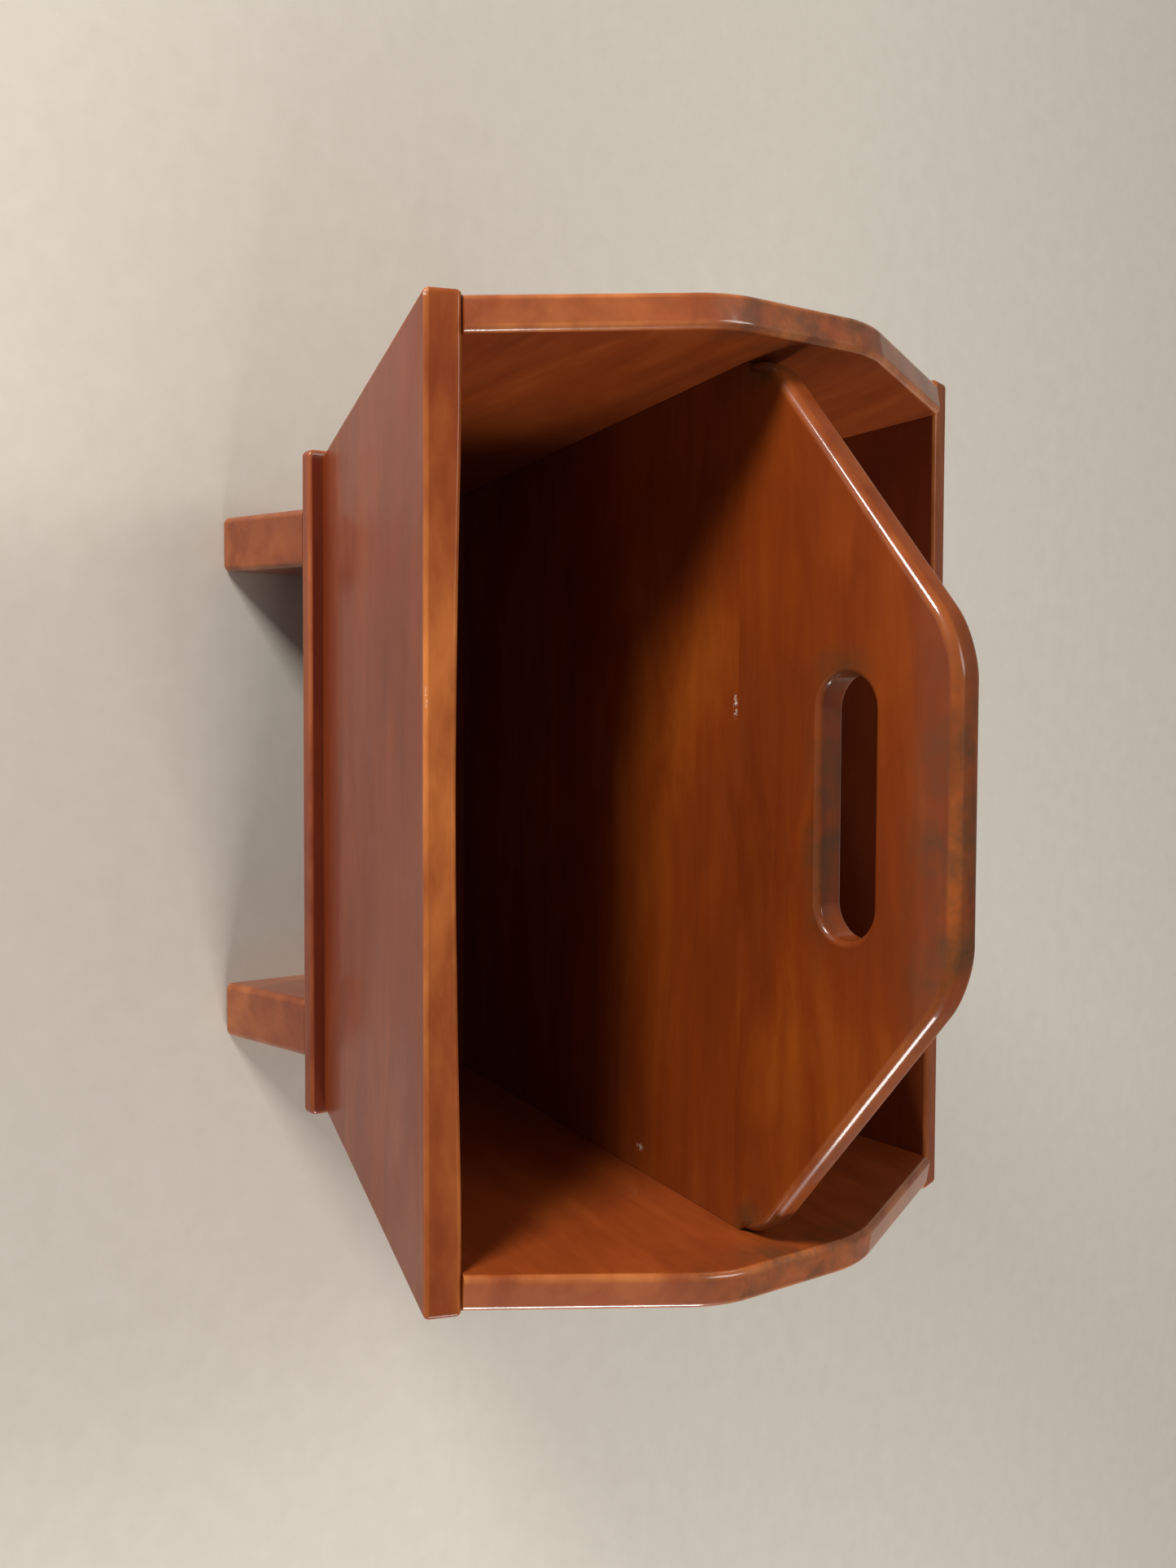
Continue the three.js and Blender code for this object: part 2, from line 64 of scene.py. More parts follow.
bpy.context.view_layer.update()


# ------------------------------------------------------------------ sizes


@dataclass(frozen=True)
class RackSizes:
    """Sizes that several pieces share.

    Attributes:
        gap: Clearance wherever two pieces meet.
        rim_length: Long panels, end to end along the outer top arris.
        rim_depth: Distance between the outer top arrises of the long panels.
        rim_height: Floor to the outer top arris of a long panel.
        long_splay: Lean of the front and back panels.
        end_splay: Lean of the end panels.
        overhang: How far the long panels reach past the end panels.
        trim: How far a board is drawn past the plane that trims it.
    """

    gap: float = 0.3 * MM
    rim_length: float = 434 * MM
    rim_depth: float = 336 * MM
    rim_height: float = 318 * MM
    long_splay: float = math.radians(20.3)
    end_splay: float = math.radians(10.3)
    overhang: float = 3.3 * MM
    trim: float = 12 * MM

    @property
    def board(self) -> float:
        """Thickness of the walls and the divider."""
        low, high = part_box("center_divider")
        return high.y - low.y

    @property
    def body_bottom(self) -> float:
        """Height of the base plate's top, where the walls stand."""
        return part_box("base_plate")[1].z

    @property
    def floor_top(self) -> float:
        """Height of the trough's floor."""
        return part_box("floor_board")[1].z

    @property
    def long_foot(self) -> float:
        """Middle of the rack to a long panel's outer face, at the base plate."""
        return self.rim_depth / 2 - self._fall(self.long_splay)

    @property
    def end_foot(self) -> float:
        """Middle of the rack to an end panel's outer face, at the base plate."""
        return self.rim_length / 2 - self.overhang - self._fall(self.end_splay)

    def _fall(self, splay: float) -> float:
        """Sideways travel of a wall between the rim and the base plate."""
        return (self.rim_height - self.body_bottom) * math.tan(splay)

    def slope_to(self, height: float, splay: float) -> float:
        """Distance up a wall at which its outer face reaches a height.

        Args:
            height: Height above the floor.
            splay: Lean of the wall.

        Returns:
            The distance, measured along the board.
        """
        rise = height - self.body_bottom
        return (rise + self.board * math.sin(splay)) / math.cos(splay)

    def end_inner_at(self, height: float) -> float:
        """Middle of the rack to an end panel's inner face, at a height."""
        foot = self.end_foot - self.board / math.cos(self.end_splay)
        return foot + (height - self.body_bottom) * math.tan(self.end_splay)


class Side(Enum):
    """The rack's two sides, by their direction along X."""

    LEFT = -1
    RIGHT = 1


class Wall(Enum):
    """The four sides of the trough, by the heading that each one faces."""

    FRONT = -math.pi / 2
    RIGHT = 0.0
    BACK = math.pi / 2
    LEFT = math.pi

    @property
    def is_long(self) -> bool:
        """Whether this is the front or the back panel."""
        return self in (Wall.FRONT, Wall.BACK)

    def frame(self, sizes: RackSizes) -> Matrix:
        """Frame of the wall's inner face, level with the base plate's top.

        Args:
            sizes: The rack's shared sizes.

        Returns:
            A matrix whose columns run along the wall, up it and straight out of it.
        """
        splay = sizes.long_splay if self.is_long else sizes.end_splay
        foot = sizes.long_foot if self.is_long else sizes.end_foot
        out = Vector((math.cos(self.value), math.sin(self.value), 0))
        up = Vector((0, 0, 1))
        along = up.cross(out)
        slope = out * math.sin(splay) + up * math.cos(splay)
        normal = out * math.cos(splay) - up * math.sin(splay)
        origin = out * (foot - sizes.board / math.cos(splay))
        origin.z = sizes.body_bottom
        turn = Matrix((along, slope, normal)).transposed()
        return Matrix.Translation(origin) @ turn.to_4x4()


# ------------------------------------------------------------------ materials


Triple = tuple[float, float, float]
Socket = bpy.types.NodeSocket

WEAR = "wear"


class Slot(Enum):
    """The record's material slots."""

    PANELS = "lacquered_cherry"
    DIVIDER = "lacquered_cherry_divider"
    DARK = "lacquered_cherry_dark"
    STEEL = "screw_steel"


class Grain(Enum):
    """Which way the wood's fibres run, as the turn that brings them to X."""

    ALONG_X = (0.0, 0.0, 0.0)
    UP_BOARD = (0.0, math.pi / 2, 0.0)
    FRONT_TO_BACK = (0.0, 0.0, -math.pi / 2)


@dataclass(frozen=True)
class Pattern:
    """A noise drawn out along the fibres, and how much of it shows.

    Attributes:
        scale: How fine it is along and across the fibres, per metre.
        detail: How many finer noises are laid over it.
        roughness: How strong the finer noises are.
        distortion: How far it is swirled.
        low: Value up to which it shows least.
        high: Value from which it shows most.
        least: Amount that shows at the low value.
        most: Amount that shows at the high value.
    """

    scale: Triple
    detail: float = 3.0
    roughness: float = 0.5
    distortion: float = 0.0
    low: float = 0.0
    high: float = 1.0
    least: float = 0.0
    most: float = 1.0


@dataclass(frozen=True)
class Relief:
    """How far a pattern stands out of the surface.

    Attributes:
        strength: Share of the relief that shows.
        height: Height of the relief.
    """

    strength: float
    height: float


BANDS = Pattern((6, 34, 34), 5, 0.6, 1.0)
BROAD_BANDS = Pattern((5, 10, 10), 3, 0.55, 0.6)
STAIN_CLOUDS = Pattern((16, 34, 34), 5, 0.65, 0.6, low=0.42, high=0.7, most=0.32)
STREAKS = Pattern((14, 240, 240), 4, 0.55, 0.4, low=0.38, high=0.66, most=0.1)
PORES = Pattern((130, 2100, 2100), 2, low=0.64, high=0.76, most=0.35)
RUBBED_PATCHES = Pattern((14, 40, 40), 4, 0.6, low=0.36, high=0.66, least=0.1, most=0.75)
SMEARS = Pattern((9, 9, 9), 4, 0.6, 0.5, low=0.3, high=0.7, least=0.34, most=0.5)
SWELL = Pattern((16, 16, 16), 2)
STEEL_SMEARS = Pattern((320, 320, 320), 4, 0.6, low=0.3, high=0.7, least=0.28, most=0.5)
BIRCH_FIBRES = Pattern((700, 90, 700), 4, 0.6, low=0.3, high=0.7, least=0.6, most=0.8)

FIGURE_STOPS = (0.27, 0.5, 0.73)
TWO_TONE_STOPS = (0.35, 0.6)
WANDER_SCALE = (5.0, 12.0, 12.0)
WANDER_DETAIL = 2.0
WANDER_REACH = 0.022
SECOND_PLANK_SHIFT = (0.03, 0.012, 0.006)

STREAK_SHARE = 0.6
PORE_SHARE = 0.4
FIBRE_RELIEF = Relief(0.1, 0.4 * MM)
SWELL_RELIEF = Relief(0.16, 2 * MM)
FILM_RELIEF = Relief(0.07, 2 * MM)

BARE_WOOD = (0.74, 0.62, 0.52)
# Colour of the dark patches: partly grime, partly painted shade and painted dark reflection.
GRIME_AND_SHADE_TONE = (0.05, 0.033, 0.014)


class Bench:
    """A material being made: adds shader nodes and joins them."""

    MIX_FACTOR = 0
    MIX_COLOURS = (6, 7)
    MIX_RESULT = 2

    def __init__(self, name: str) -> None:
        """Starts a material with an empty node tree.

        Args:
            name: Name of the material.
        """
        self.material = bpy.data.materials.new(name)
        self.material.use_nodes = True
        self.tree = self.material.node_tree
        self.tree.nodes.clear()
        self.surface = self.add("ShaderNodeBsdfPrincipled")
        output = self.add("ShaderNodeOutputMaterial")
        self.tree.links.new(self.surface.outputs["BSDF"], output.inputs["Surface"])

    def add(self, kind: str, **settings: object) -> bpy.types.Node:
        """Adds a node and sets its properties.

        Args:
            kind: The node's type name.
            **settings: Properties of the node.

        Returns:
            The new node.
        """
        node = self.tree.nodes.new(kind)
        for key, value in settings.items():
            setattr(node, key, value)
        return node

    def put(self, node: bpy.types.Node, socket: str | int, value: object) -> None:
        """Sets an input, or joins another node's output to it.

        Args:
            node: The node.
            socket: Name or place of its input.
            value: A plain value, or the output to join.
        """
        target = node.inputs[socket]
        if isinstance(value, bpy.types.NodeSocket):
            self.tree.links.new(value, target)
        else:
            target.default_value = value

    def paint(self, socket: str, value: object) -> None:
        """Sets or joins an input of the surface."""
        self.put(self.surface, socket, value)

    def place(self) -> Socket:
        """Place on the piece, in metres."""
        return self.add("ShaderNodeTexCoord").outputs["Object"]

    def stretched(self, source: Socket, scale: Triple, place: Triple = (0, 0, 0),
                  turn: Triple = (0, 0, 0)) -> Socket:
        """Scales, turns and moves a coordinate.

        Args:
            source: The coordinate.
            scale: Factor on each axis.
            place: Offset on each axis.
            turn: Turn about each axis.

        Returns:
            The changed coordinate.
        """
        node = self.add("ShaderNodeMapping")
        self.put(node, "Vector", source)
        self.put(node, "Scale", scale)
        self.put(node, "Location", place)
        self.put(node, "Rotation", turn)
        return node.outputs["Vector"]

    def noise(self, source: Socket, scale: float, detail: float = 3.0, roughness: float = 0.5,
              distortion: float = 0.0) -> Socket:
        """Makes a cloudy pattern.

        Args:
            source: Coordinate that it follows.
            scale: How fine it is.
            detail: How many finer noises are laid over it.
            roughness: How strong the finer noises are.
            distortion: How far it is swirled.

        Returns:
            Its value, from 0 to 1.
        """
        node = self.add("ShaderNodeTexNoise")
        self.put(node, "Vector", source)
        self.put(node, "Scale", scale)
        self.put(node, "Detail", detail)
        self.put(node, "Roughness", roughness)
        self.put(node, "Distortion", distortion)
        return node.outputs["Fac"]

    def drawn(self, along: Socket, pattern: Pattern) -> Socket:
        """Draws a pattern out along the fibres.

        Args:
            along: Coordinate whose X runs along the fibres.
            pattern: The pattern.

        Returns:
            Its value, from 0 to 1.
        """
        return self.noise(self.stretched(along, pattern.scale), 1.0, pattern.detail,
                          pattern.roughness, pattern.distortion)

    def shown(self, value: Socket, pattern: Pattern, strength: float = 1.0) -> Socket:
        """Turns a pattern's value into the amount of it that shows.

        Args:
            value: The drawn pattern.
            pattern: The pattern, with its limits.
            strength: Factor on the amount.

        Returns:
            The amount.
        """
        return self.span(value, pattern.low, pattern.high, pattern.least * strength,
                         pattern.most * strength)

    def ramp(self, source: Socket, stops: Iterable[tuple[float, Triple]]) -> Socket:
        """Turns a value into a colour.

        Args:
            source: The value.
            stops: Each place on the ramp and its colour.

        Returns:
            The colour.
        """
        node = self.add("ShaderNodeValToRGB")
        self.put(node, "Fac", source)
        elements = node.color_ramp.elements
        stops = list(stops)
        while len(elements) < len(stops):
            elements.new(1.0)
        for element, (place, colour) in zip(elements, stops):
            element.position = place
            element.color = (*colour, 1)
        return node.outputs["Color"]

    def span(self, source: Socket, low: float, high: float, to_low: float = 0.0,
             to_high: float = 1.0) -> Socket:
        """Maps a range of values onto another, clamped.

        Args:
            source: The value.
            low: Start of its range.
            high: End of its range.
            to_low: What the start becomes.
            to_high: What the end becomes.

        Returns:
            The mapped value.
        """
        node = self.add("ShaderNodeMapRange")
        self.put(node, "Value", source)
        self.put(node, "From Min", low)
        self.put(node, "From Max", high)
        self.put(node, "To Min", to_low)
        self.put(node, "To Max", to_high)
        return node.outputs["Result"]

    def math(self, operation: str, first: object, second: object) -> Socket:
        """Takes one step of arithmetic.

        Args:
            operation: Name of the step.
            first: First value.
            second: Second value.

        Returns:
            The result.
        """
        node = self.add("ShaderNodeMath", operation=operation)
        self.put(node, 0, first)
        self.put(node, 1, second)
        return node.outputs["Value"]

    def vector(self, operation: str, first: object, second: object) -> Socket:
        """Takes one step of arithmetic on a vector.

        Args:
            operation: Name of the step.
            first: The vector.
            second: A second vector, or the factor of a scaling.

        Returns:
            The resulting vector.
        """
        node = self.add("ShaderNodeVectorMath", operation=operation)
        self.put(node, 0, first)
        self.put(node, "Scale" if operation == "SCALE" else 1, second)
        return node.outputs["Vector"]

    def length(self, source: Socket) -> Socket:
        """Measures a vector.

        Args:
            source: The vector.

        Returns:
            Its length.
        """
        node = self.add("ShaderNodeVectorMath", operation="LENGTH")
        self.put(node, 0, source)
        return node.outputs["Value"]

    def blend(self, factor: object, under: Socket, over: Socket | Triple) -> Socket:
        """Lays a colour over another.

        Args:
            factor: How much of the upper colour shows.
            under: The lower colour.
            over: The upper colour.

        Returns:
            The mixed colour.
        """
        node = self.add("ShaderNodeMix", data_type="RGBA")
        self.put(node, self.MIX_FACTOR, factor)
        for place, colour in zip(self.MIX_COLOURS, (under, over)):
            joined = isinstance(colour, bpy.types.NodeSocket)
            self.put(node, place, colour if joined else (*colour, 1))
        return node.outputs[self.MIX_RESULT]

    def bump(self, height: Socket, relief: Relief, normal: Socket | None = None) -> Socket:
        """Turns a height into a relief of the surface.

        Args:
            height: The height, from 0 to 1.
            relief: How far it stands out.
            normal: Relief that it is laid over, or nothing.

        Returns:
            The changed normal.
        """
        node = self.add("ShaderNodeBump")
        self.put(node, "Height", height)
        self.put(node, "Strength", relief.strength)
        self.put(node, "Distance", relief.height)
        if normal is not None:
            self.put(node, "Normal", normal)
        return node.outputs["Normal"]

    def attribute(self, name: str) -> Socket:
        """A value that the mesh carries at its vertices."""
        return self.add("ShaderNodeAttribute", attribute_name=name).outputs["Fac"]


@dataclass(frozen=True)
class Mark:
    """A light rubbed patch, or a dark patch of grime and painted shade, as a soft spot about a
    point that is broken up by noise.

    Attributes:
        place: Middle of the mark.
        size: Half its length along X, Y and Z.
        colour: Colour of the mark.
        crumb: How finely it is broken, in crumbs per metre.
        softness: How gently the crumbs fade.
        strength: How much of the wood it hides.
    """

    place: Triple
    size: Triple
    colour: Triple = BARE_WOOD
    crumb: float = 900.0
    softness: float = 0.08
    strength: float = 0.8

    CORE = 0.4
    CRUMB_LEVEL = 0.54
    CRUMB_DETAIL = 4.0
    CRUMB_ROUGHNESS = 0.7

    @classmethod
    def dark_grime_and_shade(cls, place: Triple, size: Triple, strength: float) -> Mark:
        """A dark patch, partly grime from hands, partly painted shade and painted dark reflection.
        """
        return cls(place, size, GRIME_AND_SHADE_TONE, crumb=45.0, softness=0.3, strength=strength)

    def lay(self, bench: Bench, place: Socket, colour: Socket) -> Socket:
        """Lays the mark over the wood.

        Args:
            bench: The material being made.
            place: Place on the piece.
            colour: Colour of the wood.

        Returns:
            The colour with the mark over it.
        """
        scale = tuple(1 / half for half in self.size)
        offset = tuple(-at * factor for at, factor in zip(self.place, scale))
        spot = bench.span(bench.length(bench.stretched(place, scale, offset)), 1.0, self.CORE)
        edge = self.CRUMB_LEVEL - self.softness / 2
        broken = bench.noise(place, self.crumb, self.CRUMB_DETAIL, self.CRUMB_ROUGHNESS)
        crumbs = bench.span(broken, edge, edge + self.softness, 0.0, self.strength)
        return bench.blend(bench.math("MULTIPLY", spot, crumbs), colour, self.colour)


@dataclass(frozen=True)
class Stain:
    """Colours of one stain on cherry.

    Attributes:
        deep: Colour where the wood took the most stain.
        body: Main colour.
        glow: Colour of the light streaks.
        worn: Colour where the stain is rubbed thin along an arris.
    """

    deep: Triple
    body: Triple
    glow: Triple
    worn: Triple


RED_BROWN = Stain(deep=(0.14, 0.022, 0.005), body=(0.25, 0.046, 0.008),
                  glow=(0.38, 0.085, 0.014), worn=(0.54, 0.17, 0.04))
ROSE_BROWN = Stain(deep=(0.11, 0.017, 0.006), body=(0.178, 0.031, 0.008),
                   glow=(0.255, 0.055, 0.013), worn=(0.54, 0.17, 0.04))
AMBER = Stain(deep=(0.105, 0.015, 0.003), body=(0.178, 0.03, 0.0035),
              glow=(0.29, 0.066, 0.006), worn=(0.44, 0.13, 0.03))
# Darker stain for the trough's floor and the base plate, chosen partly as painted shade for the
# dark trough bottom and the ledge under the panels.
SHADED_MAROON = Stain(deep=(0.09, 0.014, 0.007), body=(0.155, 0.027, 0.012),
               glow=(0.22, 0.046, 0.016), worn=(0.42, 0.115, 0.035))


@dataclass(frozen=True)
class CherryFinish:
    """Stained and lacquered cherry.

    Attributes:
        name: Name of the material.
        stain: Its colours.
        grain: Which way the fibres run.
        shift: Offset that gives each board its own figure.
        marks: Its light rubbed marks and its dark patches of grime, painted shade and painted dark
            reflection.
        wear: How far the stain is rubbed off the arrises.
        coat: Strength of the lacquer's reflections.
        glue_line: Height at which two planks are glued edge to edge, or nothing.
    """

    name: str
    stain: Stain
    grain: Grain
    shift: Triple = (0.0, 0.0, 0.0)
    marks: tuple[Mark, ...] = ()
    wear: float = 1.0
    coat: float = 0.5
    glue_line: float | None = None

    BARE_SHARE = 0.3

    def make(self) -> bpy.types.Material:
        """Makes the material.

        Returns:
            A material with streaks, pores, cloudy stain, worn arrises and rubbed marks.
        """
        bench = Bench(self.name)
        place = bench.place()
        along = bench.stretched(place, (1, 1, 1), self.shift, self.grain.value)
        if self.glue_line is not None:
            along = self._second_plank(bench, place, along)
        along = self._wandering(bench, along)
        streaks = bench.drawn(along, STREAKS)
        pores = bench.drawn(along, PORES)
        colour = self._figure(bench, along, streaks, pores)
        colour = self._rubbed(bench, along, colour)
        for mark in self.marks:
            colour = mark.lay(bench, place, colour)
        bench.paint("Base Color", colour)
        self._lacquer(bench, along, streaks, pores)
        return bench.material

    def _second_plank(self, bench: Bench, place: Socket, along: Socket) -> Socket:
        """Gives the wood above the glue line a figure of its own.

        Args:
            bench: The material being made.
            place: Place on the piece.
            along: Coordinate along the fibres.

        Returns:
            The coordinate, shifted above the glue line.
        """
        axes = bench.add("ShaderNodeSeparateXYZ")
        bench.put(axes, 0, place)
        above = bench.math("GREATER_THAN", axes.outputs["Z"], self.glue_line)
        return bench.vector("ADD", along, bench.vector("SCALE", SECOND_PLANK_SHIFT, above))

    @staticmethod
    def _wandering(bench: Bench, along: Socket) -> Socket:
        """Bends the fibres gently, so that they don't run dead straight.

        Args:
            bench: The material being made.
            along: Coordinate along the fibres.

        Returns:
            The bent coordinate.
        """
        drift = bench.add("ShaderNodeTexNoise")
        bench.put(drift, "Vector", bench.stretched(along, WANDER_SCALE))
        bench.put(drift, "Scale", 1.0)
        bench.put(drift, "Detail", WANDER_DETAIL)
        centred = bench.vector("SUBTRACT", drift.outputs["Color"], (0.5, 0.5, 0.5))
        return bench.vector("ADD", along, bench.vector("SCALE", centred, WANDER_REACH))

    def _figure(self, bench: Bench, along: Socket, streaks: Socket, pores: Socket) -> Socket:
        """Colours the wood with soft bands, clouds of stain, fine streaks and pores.

        Args:
            bench: The material being made.
            along: Coordinate along the fibres.
            streaks: The fine streaks.
            pores: The pores.

        Returns:
            The wood's colour.
        """
        stain = self.stain
        figure = bench.math("ADD", bench.math("MULTIPLY", bench.drawn(along, BANDS), 0.5),
                            bench.math("MULTIPLY", bench.drawn(along, BROAD_BANDS), 0.5))
        colour = bench.ramp(figure, zip(FIGURE_STOPS, (stain.deep, stain.body, stain.glow)))
        clouds = bench.drawn(along, STAIN_CLOUDS)
        colour = bench.blend(bench.shown(clouds, STAIN_CLOUDS), colour, stain.deep)
        colour = bench.blend(bench.shown(streaks, STREAKS), colour, stain.glow)
        return bench.blend(bench.shown(pores, PORES), colour, stain.deep)

    def _rubbed(self, bench: Bench, along: Socket, colour: Socket) -> Socket:
        """Rubs the stain thin along the arrises, in long soft patches.

        Args:
            bench: The material being made.
            along: Coordinate along the fibres.
            colour: The wood's colour.

        Returns:
            The colour with its worn arrises.
        """
        patches = bench.drawn(along, RUBBED_PATCHES)
        rubbed = bench.shown(patches, RUBBED_PATCHES, self.wear)
        amount = bench.math("MULTIPLY", bench.attribute(WEAR), rubbed)
        return bench.blend(amount, colour, self.stain.worn)

    def _lacquer(self, bench: Bench, along: Socket, streaks: Socket, pores: Socket) -> None:
        """Lays a glossy coat, a little smeared and not quite flat, over satin wood.

        Args:
            bench: The material being made.
            along: Coordinate along the fibres.
            streaks: The fine streaks.
            pores: The pores.
        """
        bench.paint("Roughness", bench.shown(bench.drawn(along, SMEARS), SMEARS))
        bench.paint("Specular IOR Level", self.BARE_SHARE * self.coat)
        bench.paint("Coat Weight", self.coat)
        bench.paint("Coat Roughness", 0.1)
        bench.paint("Coat IOR", 1.5)
        fibres = bench.math("SUBTRACT", bench.math("MULTIPLY", streaks, STREAK_SHARE),
                            bench.math("MULTIPLY", pores, PORE_SHARE))
        swell = bench.drawn(along, SWELL)
        bench.paint("Normal", bench.bump(swell, SWELL_RELIEF, bench.bump(fibres, FIBRE_RELIEF)))
        bench.paint("Coat Normal", bench.bump(swell, FILM_RELIEF))


@dataclass(frozen=True)
class BirchFinish:
    """Bare turned birch, as on the hidden dowels.

    Attributes:
        name: Name of the material.
        pale: Colour of the pale fibres.
        brown: Colour of the brown fibres.
    """

    name: str = "bare_birch"
    pale: Triple = (0.68, 0.5, 0.3)
    brown: Triple = (0.5, 0.33, 0.17)

    def make(self) -> bpy.types.Material:
        """Makes the material.

        Returns:
            A dull material with fine pale and brown fibres.
        """
        bench = Bench(self.name)
        fibres = bench.drawn(bench.place(), BIRCH_FIBRES)
        tones = (self.brown, self.pale)
        bench.paint("Base Color", bench.ramp(fibres, zip(TWO_TONE_STOPS, tones)))
        bench.paint("Roughness", bench.shown(fibres, BIRCH_FIBRES))
        return bench.material


@dataclass(frozen=True)
class SteelFinish:
    """Plain turned steel with a slightly smeared shine, as on the wood screws.

    Attributes:
        name: Name of the material.
        bright: Colour of the clean steel.
        dull: Colour of the smeared steel.
    """

    name: str = "screw_steel"
    bright: Triple = (0.62, 0.61, 0.58)
    dull: Triple = (0.36, 0.34, 0.31)

    def make(self) -> bpy.types.Material:
        """Makes the material.

        Returns:
            A metal with cloudy smears in its colour and its shine.
        """
        bench = Bench(self.name)
        smears = bench.drawn(bench.place(), STEEL_SMEARS)
        tones = (self.dull, self.bright)
        bench.paint("Base Color", bench.ramp(smears, zip(TWO_TONE_STOPS, tones)))
        bench.paint("Metallic", 1.0)
        bench.paint("Roughness", bench.shown(smears, STEEL_SMEARS))
        return bench.material


# ------------------------------------------------------------------ board work


class Rounded(Enum):
    """What is rounded on a board."""

    CORNERS = "VERTICES"
    ARRISES = "EDGES"


@dataclass
class BoardWork:
    """A board on the bench: an outline in XY that is thickened along Z, eased and trimmed.

    Attributes:
        thickness: Thickness of the board.
        arris: Radius of its eased edges.
        segments: Facets across an arris.
        opening_arris: Radius of the eased edges of an opening.
        opening: Middle, half length and half height of an opening, or nothing.
        housed_below: Height below which its edges are held by its neighbours and stay square.
        mesh: The board's mesh.
    """

    thickness: float
    arris: float
    segments: int = 5
    opening_arris: float = 3 * MM
    opening: tuple[tuple[float, float], float, float] | None = None
    housed_below: float = -math.inf
    mesh: bmesh.types.BMesh = field(default_factory=bmesh.new)

    BROAD = 0.99
    FACET_DEGREES = 3
    FEWEST_FACETS = 4
    OPENING_FACETS = 72
    EDGE_WEAR = 0.45
    OPENING_WEAR = 0.35
    FOOT_FACETS = 3
    FOOT_REACH = 20 * MM

    def outline(self, corners: Iterable[tuple[float, float, float]]) -> None:
        """Lays out the outline and rounds its corners.

        Args:
            corners: Each corner's place and its radius, anticlockwise.
        """
        corners = list(corners)
        verts = [self.mesh.verts.new((x, y, 0)) for x, y, _ in corners]
        self.mesh.faces.new(verts)
        for i, (_, _, radius) in enumerate(corners):
            if radius <= 0:
                continue
            here = verts[i].co
            back = (Vector((*corners[i - 1][:2], 0)) - here).normalized()
            ahead = (Vector((*corners[(i + 1) % len(corners)][:2], 0)) - here).normalized()
            half = back.angle(ahead) / 2
            facets = round((180 - 2 * math.degrees(half)) / self.FACET_DEGREES)
            self.bevel([verts[i]], radius / math.tan(half), max(self.FEWEST_FACETS, facets),
                       Rounded.CORNERS)

    def bevel(self, geometry: list[bmesh.types.BMVert] | list[bmesh.types.BMEdge],
              offset: float, segments: int, rounded: Rounded = Rounded.ARRISES) -> None:
        """Rounds some corners or arrises.

        Args:
            geometry: The corners or arrises.
            offset: How far the rounding reaches from each.
            segments: Facets across the rounding.
            rounded: Which of the two they are.
        """
        bmesh.ops.bevel(self.mesh, geom=geometry, offset=offset, offset_type="OFFSET",
                        segments=segments, profile=0.5, affect=rounded.value, material=-1,
                        clamp_overlap=False)

    def pierce(self, middle: tuple[float, float], half: float, radius: float) -> None:
        """Opens a slot with round ends in the flat outline.

        Args:
            middle: Middle of the slot.
            half: Half its length.
            radius: Half its height.
        """
        self.opening = (middle, half, radius)
        outer = list(self.mesh.edges)
        bmesh.ops.delete(self.mesh, geom=list(self.mesh.faces), context="FACES_ONLY")
        turn = Matrix.Rotation(math.pi / self.OPENING_FACETS, 4, "Z")
        ring = bmesh.ops.create_circle(self.mesh, segments=self.OPENING_FACETS, radius=radius,
                                       matrix=turn)
        for vert in ring["verts"]:
            vert.co.x += math.copysign(half - radius, vert.co.x)
        bmesh.ops.translate(self.mesh, verts=ring["verts"], vec=(*middle, 0))
        inner = [edge for edge in self.mesh.edges if edge not in set(outer)]
        bmesh.ops.triangle_fill(self.mesh, use_beauty=True, edges=outer + inner,
                                normal=(0, 0, 1))

    def thicken(self) -> None:
        """Gives the flat outline its thickness."""
        flat = list(self.mesh.faces)
        grown = bmesh.ops.extrude_face_region(self.mesh, geom=flat, use_keep_orig=True)
        top = [item for item in grown["geom"] if isinstance(item, bmesh.types.BMVert)]
        bmesh.ops.translate(self.mesh, verts=top, vec=(0, 0, self.thickness))
        bmesh.ops.recalc_face_normals(self.mesh, faces=list(self.mesh.faces))

    def ease(self) -> None:
        """Rounds the arrises along both faces."""
        for radius, inside in ((self.arris, False), (self.opening_arris, True)):
            edges = [edge for edge in self.mesh.edges
                     if self._is_arris(edge) and self._in_opening(edge.verts[0].co) is inside]
            self.bevel(edges, radius, self.segments)

    def _in_opening(self, place: Vector) -> bool:
        """Tells the opening's wall from the rest of the board.

        Args:
            place: A place on the board.

        Returns:
            Whether it lies on the wall of the opening.
        """
        if self.opening is None:
            return False
        (x, y), half, radius = self.opening
        slack = self.opening_arris + MM
        return abs(place.x - x) < half + slack and abs(place.y - y) < radius + slack

    def _is_arris(self, edge: bmesh.types.BMEdge) -> bool:
        """Tells the arrises from the other edges.

        Args:
            edge: An edge of the board.

        Returns:
            Whether it joins a broad face to a free side of the board.
        """
        housed = all(vert.co.y < self.housed_below for vert in edge.verts)
        if housed or len(edge.link_faces) != 2:
            return False
        broad = [abs(face.normal.z) > self.BROAD for face in edge.link_faces]
        return broad[0] != broad[1]

    def trim(self, point: Vector, normal: Vector) -> None:
        """Planes away what lies beyond a plane and closes the cut.

        Args:
            point: A point on the plane.
            normal: Direction that is planed away.
        """
        cut = self._cut(point, normal, planed=True)
        rim = [item for item in cut if isinstance(item, bmesh.types.BMEdge)]
        bmesh.ops.holes_fill(self.mesh, edges=rim, sides=0)

    def ease_foot(self, radius: float) -> None:
        """Eases the outer edge of a trimmed board where it stands on the base plate.

        Args:
            radius: Radius of the eased edge.
        """
        edges = [edge for edge in self.mesh.edges if self._is_outer_foot(edge)]
        self.bevel(edges, radius, self.FOOT_FACETS)

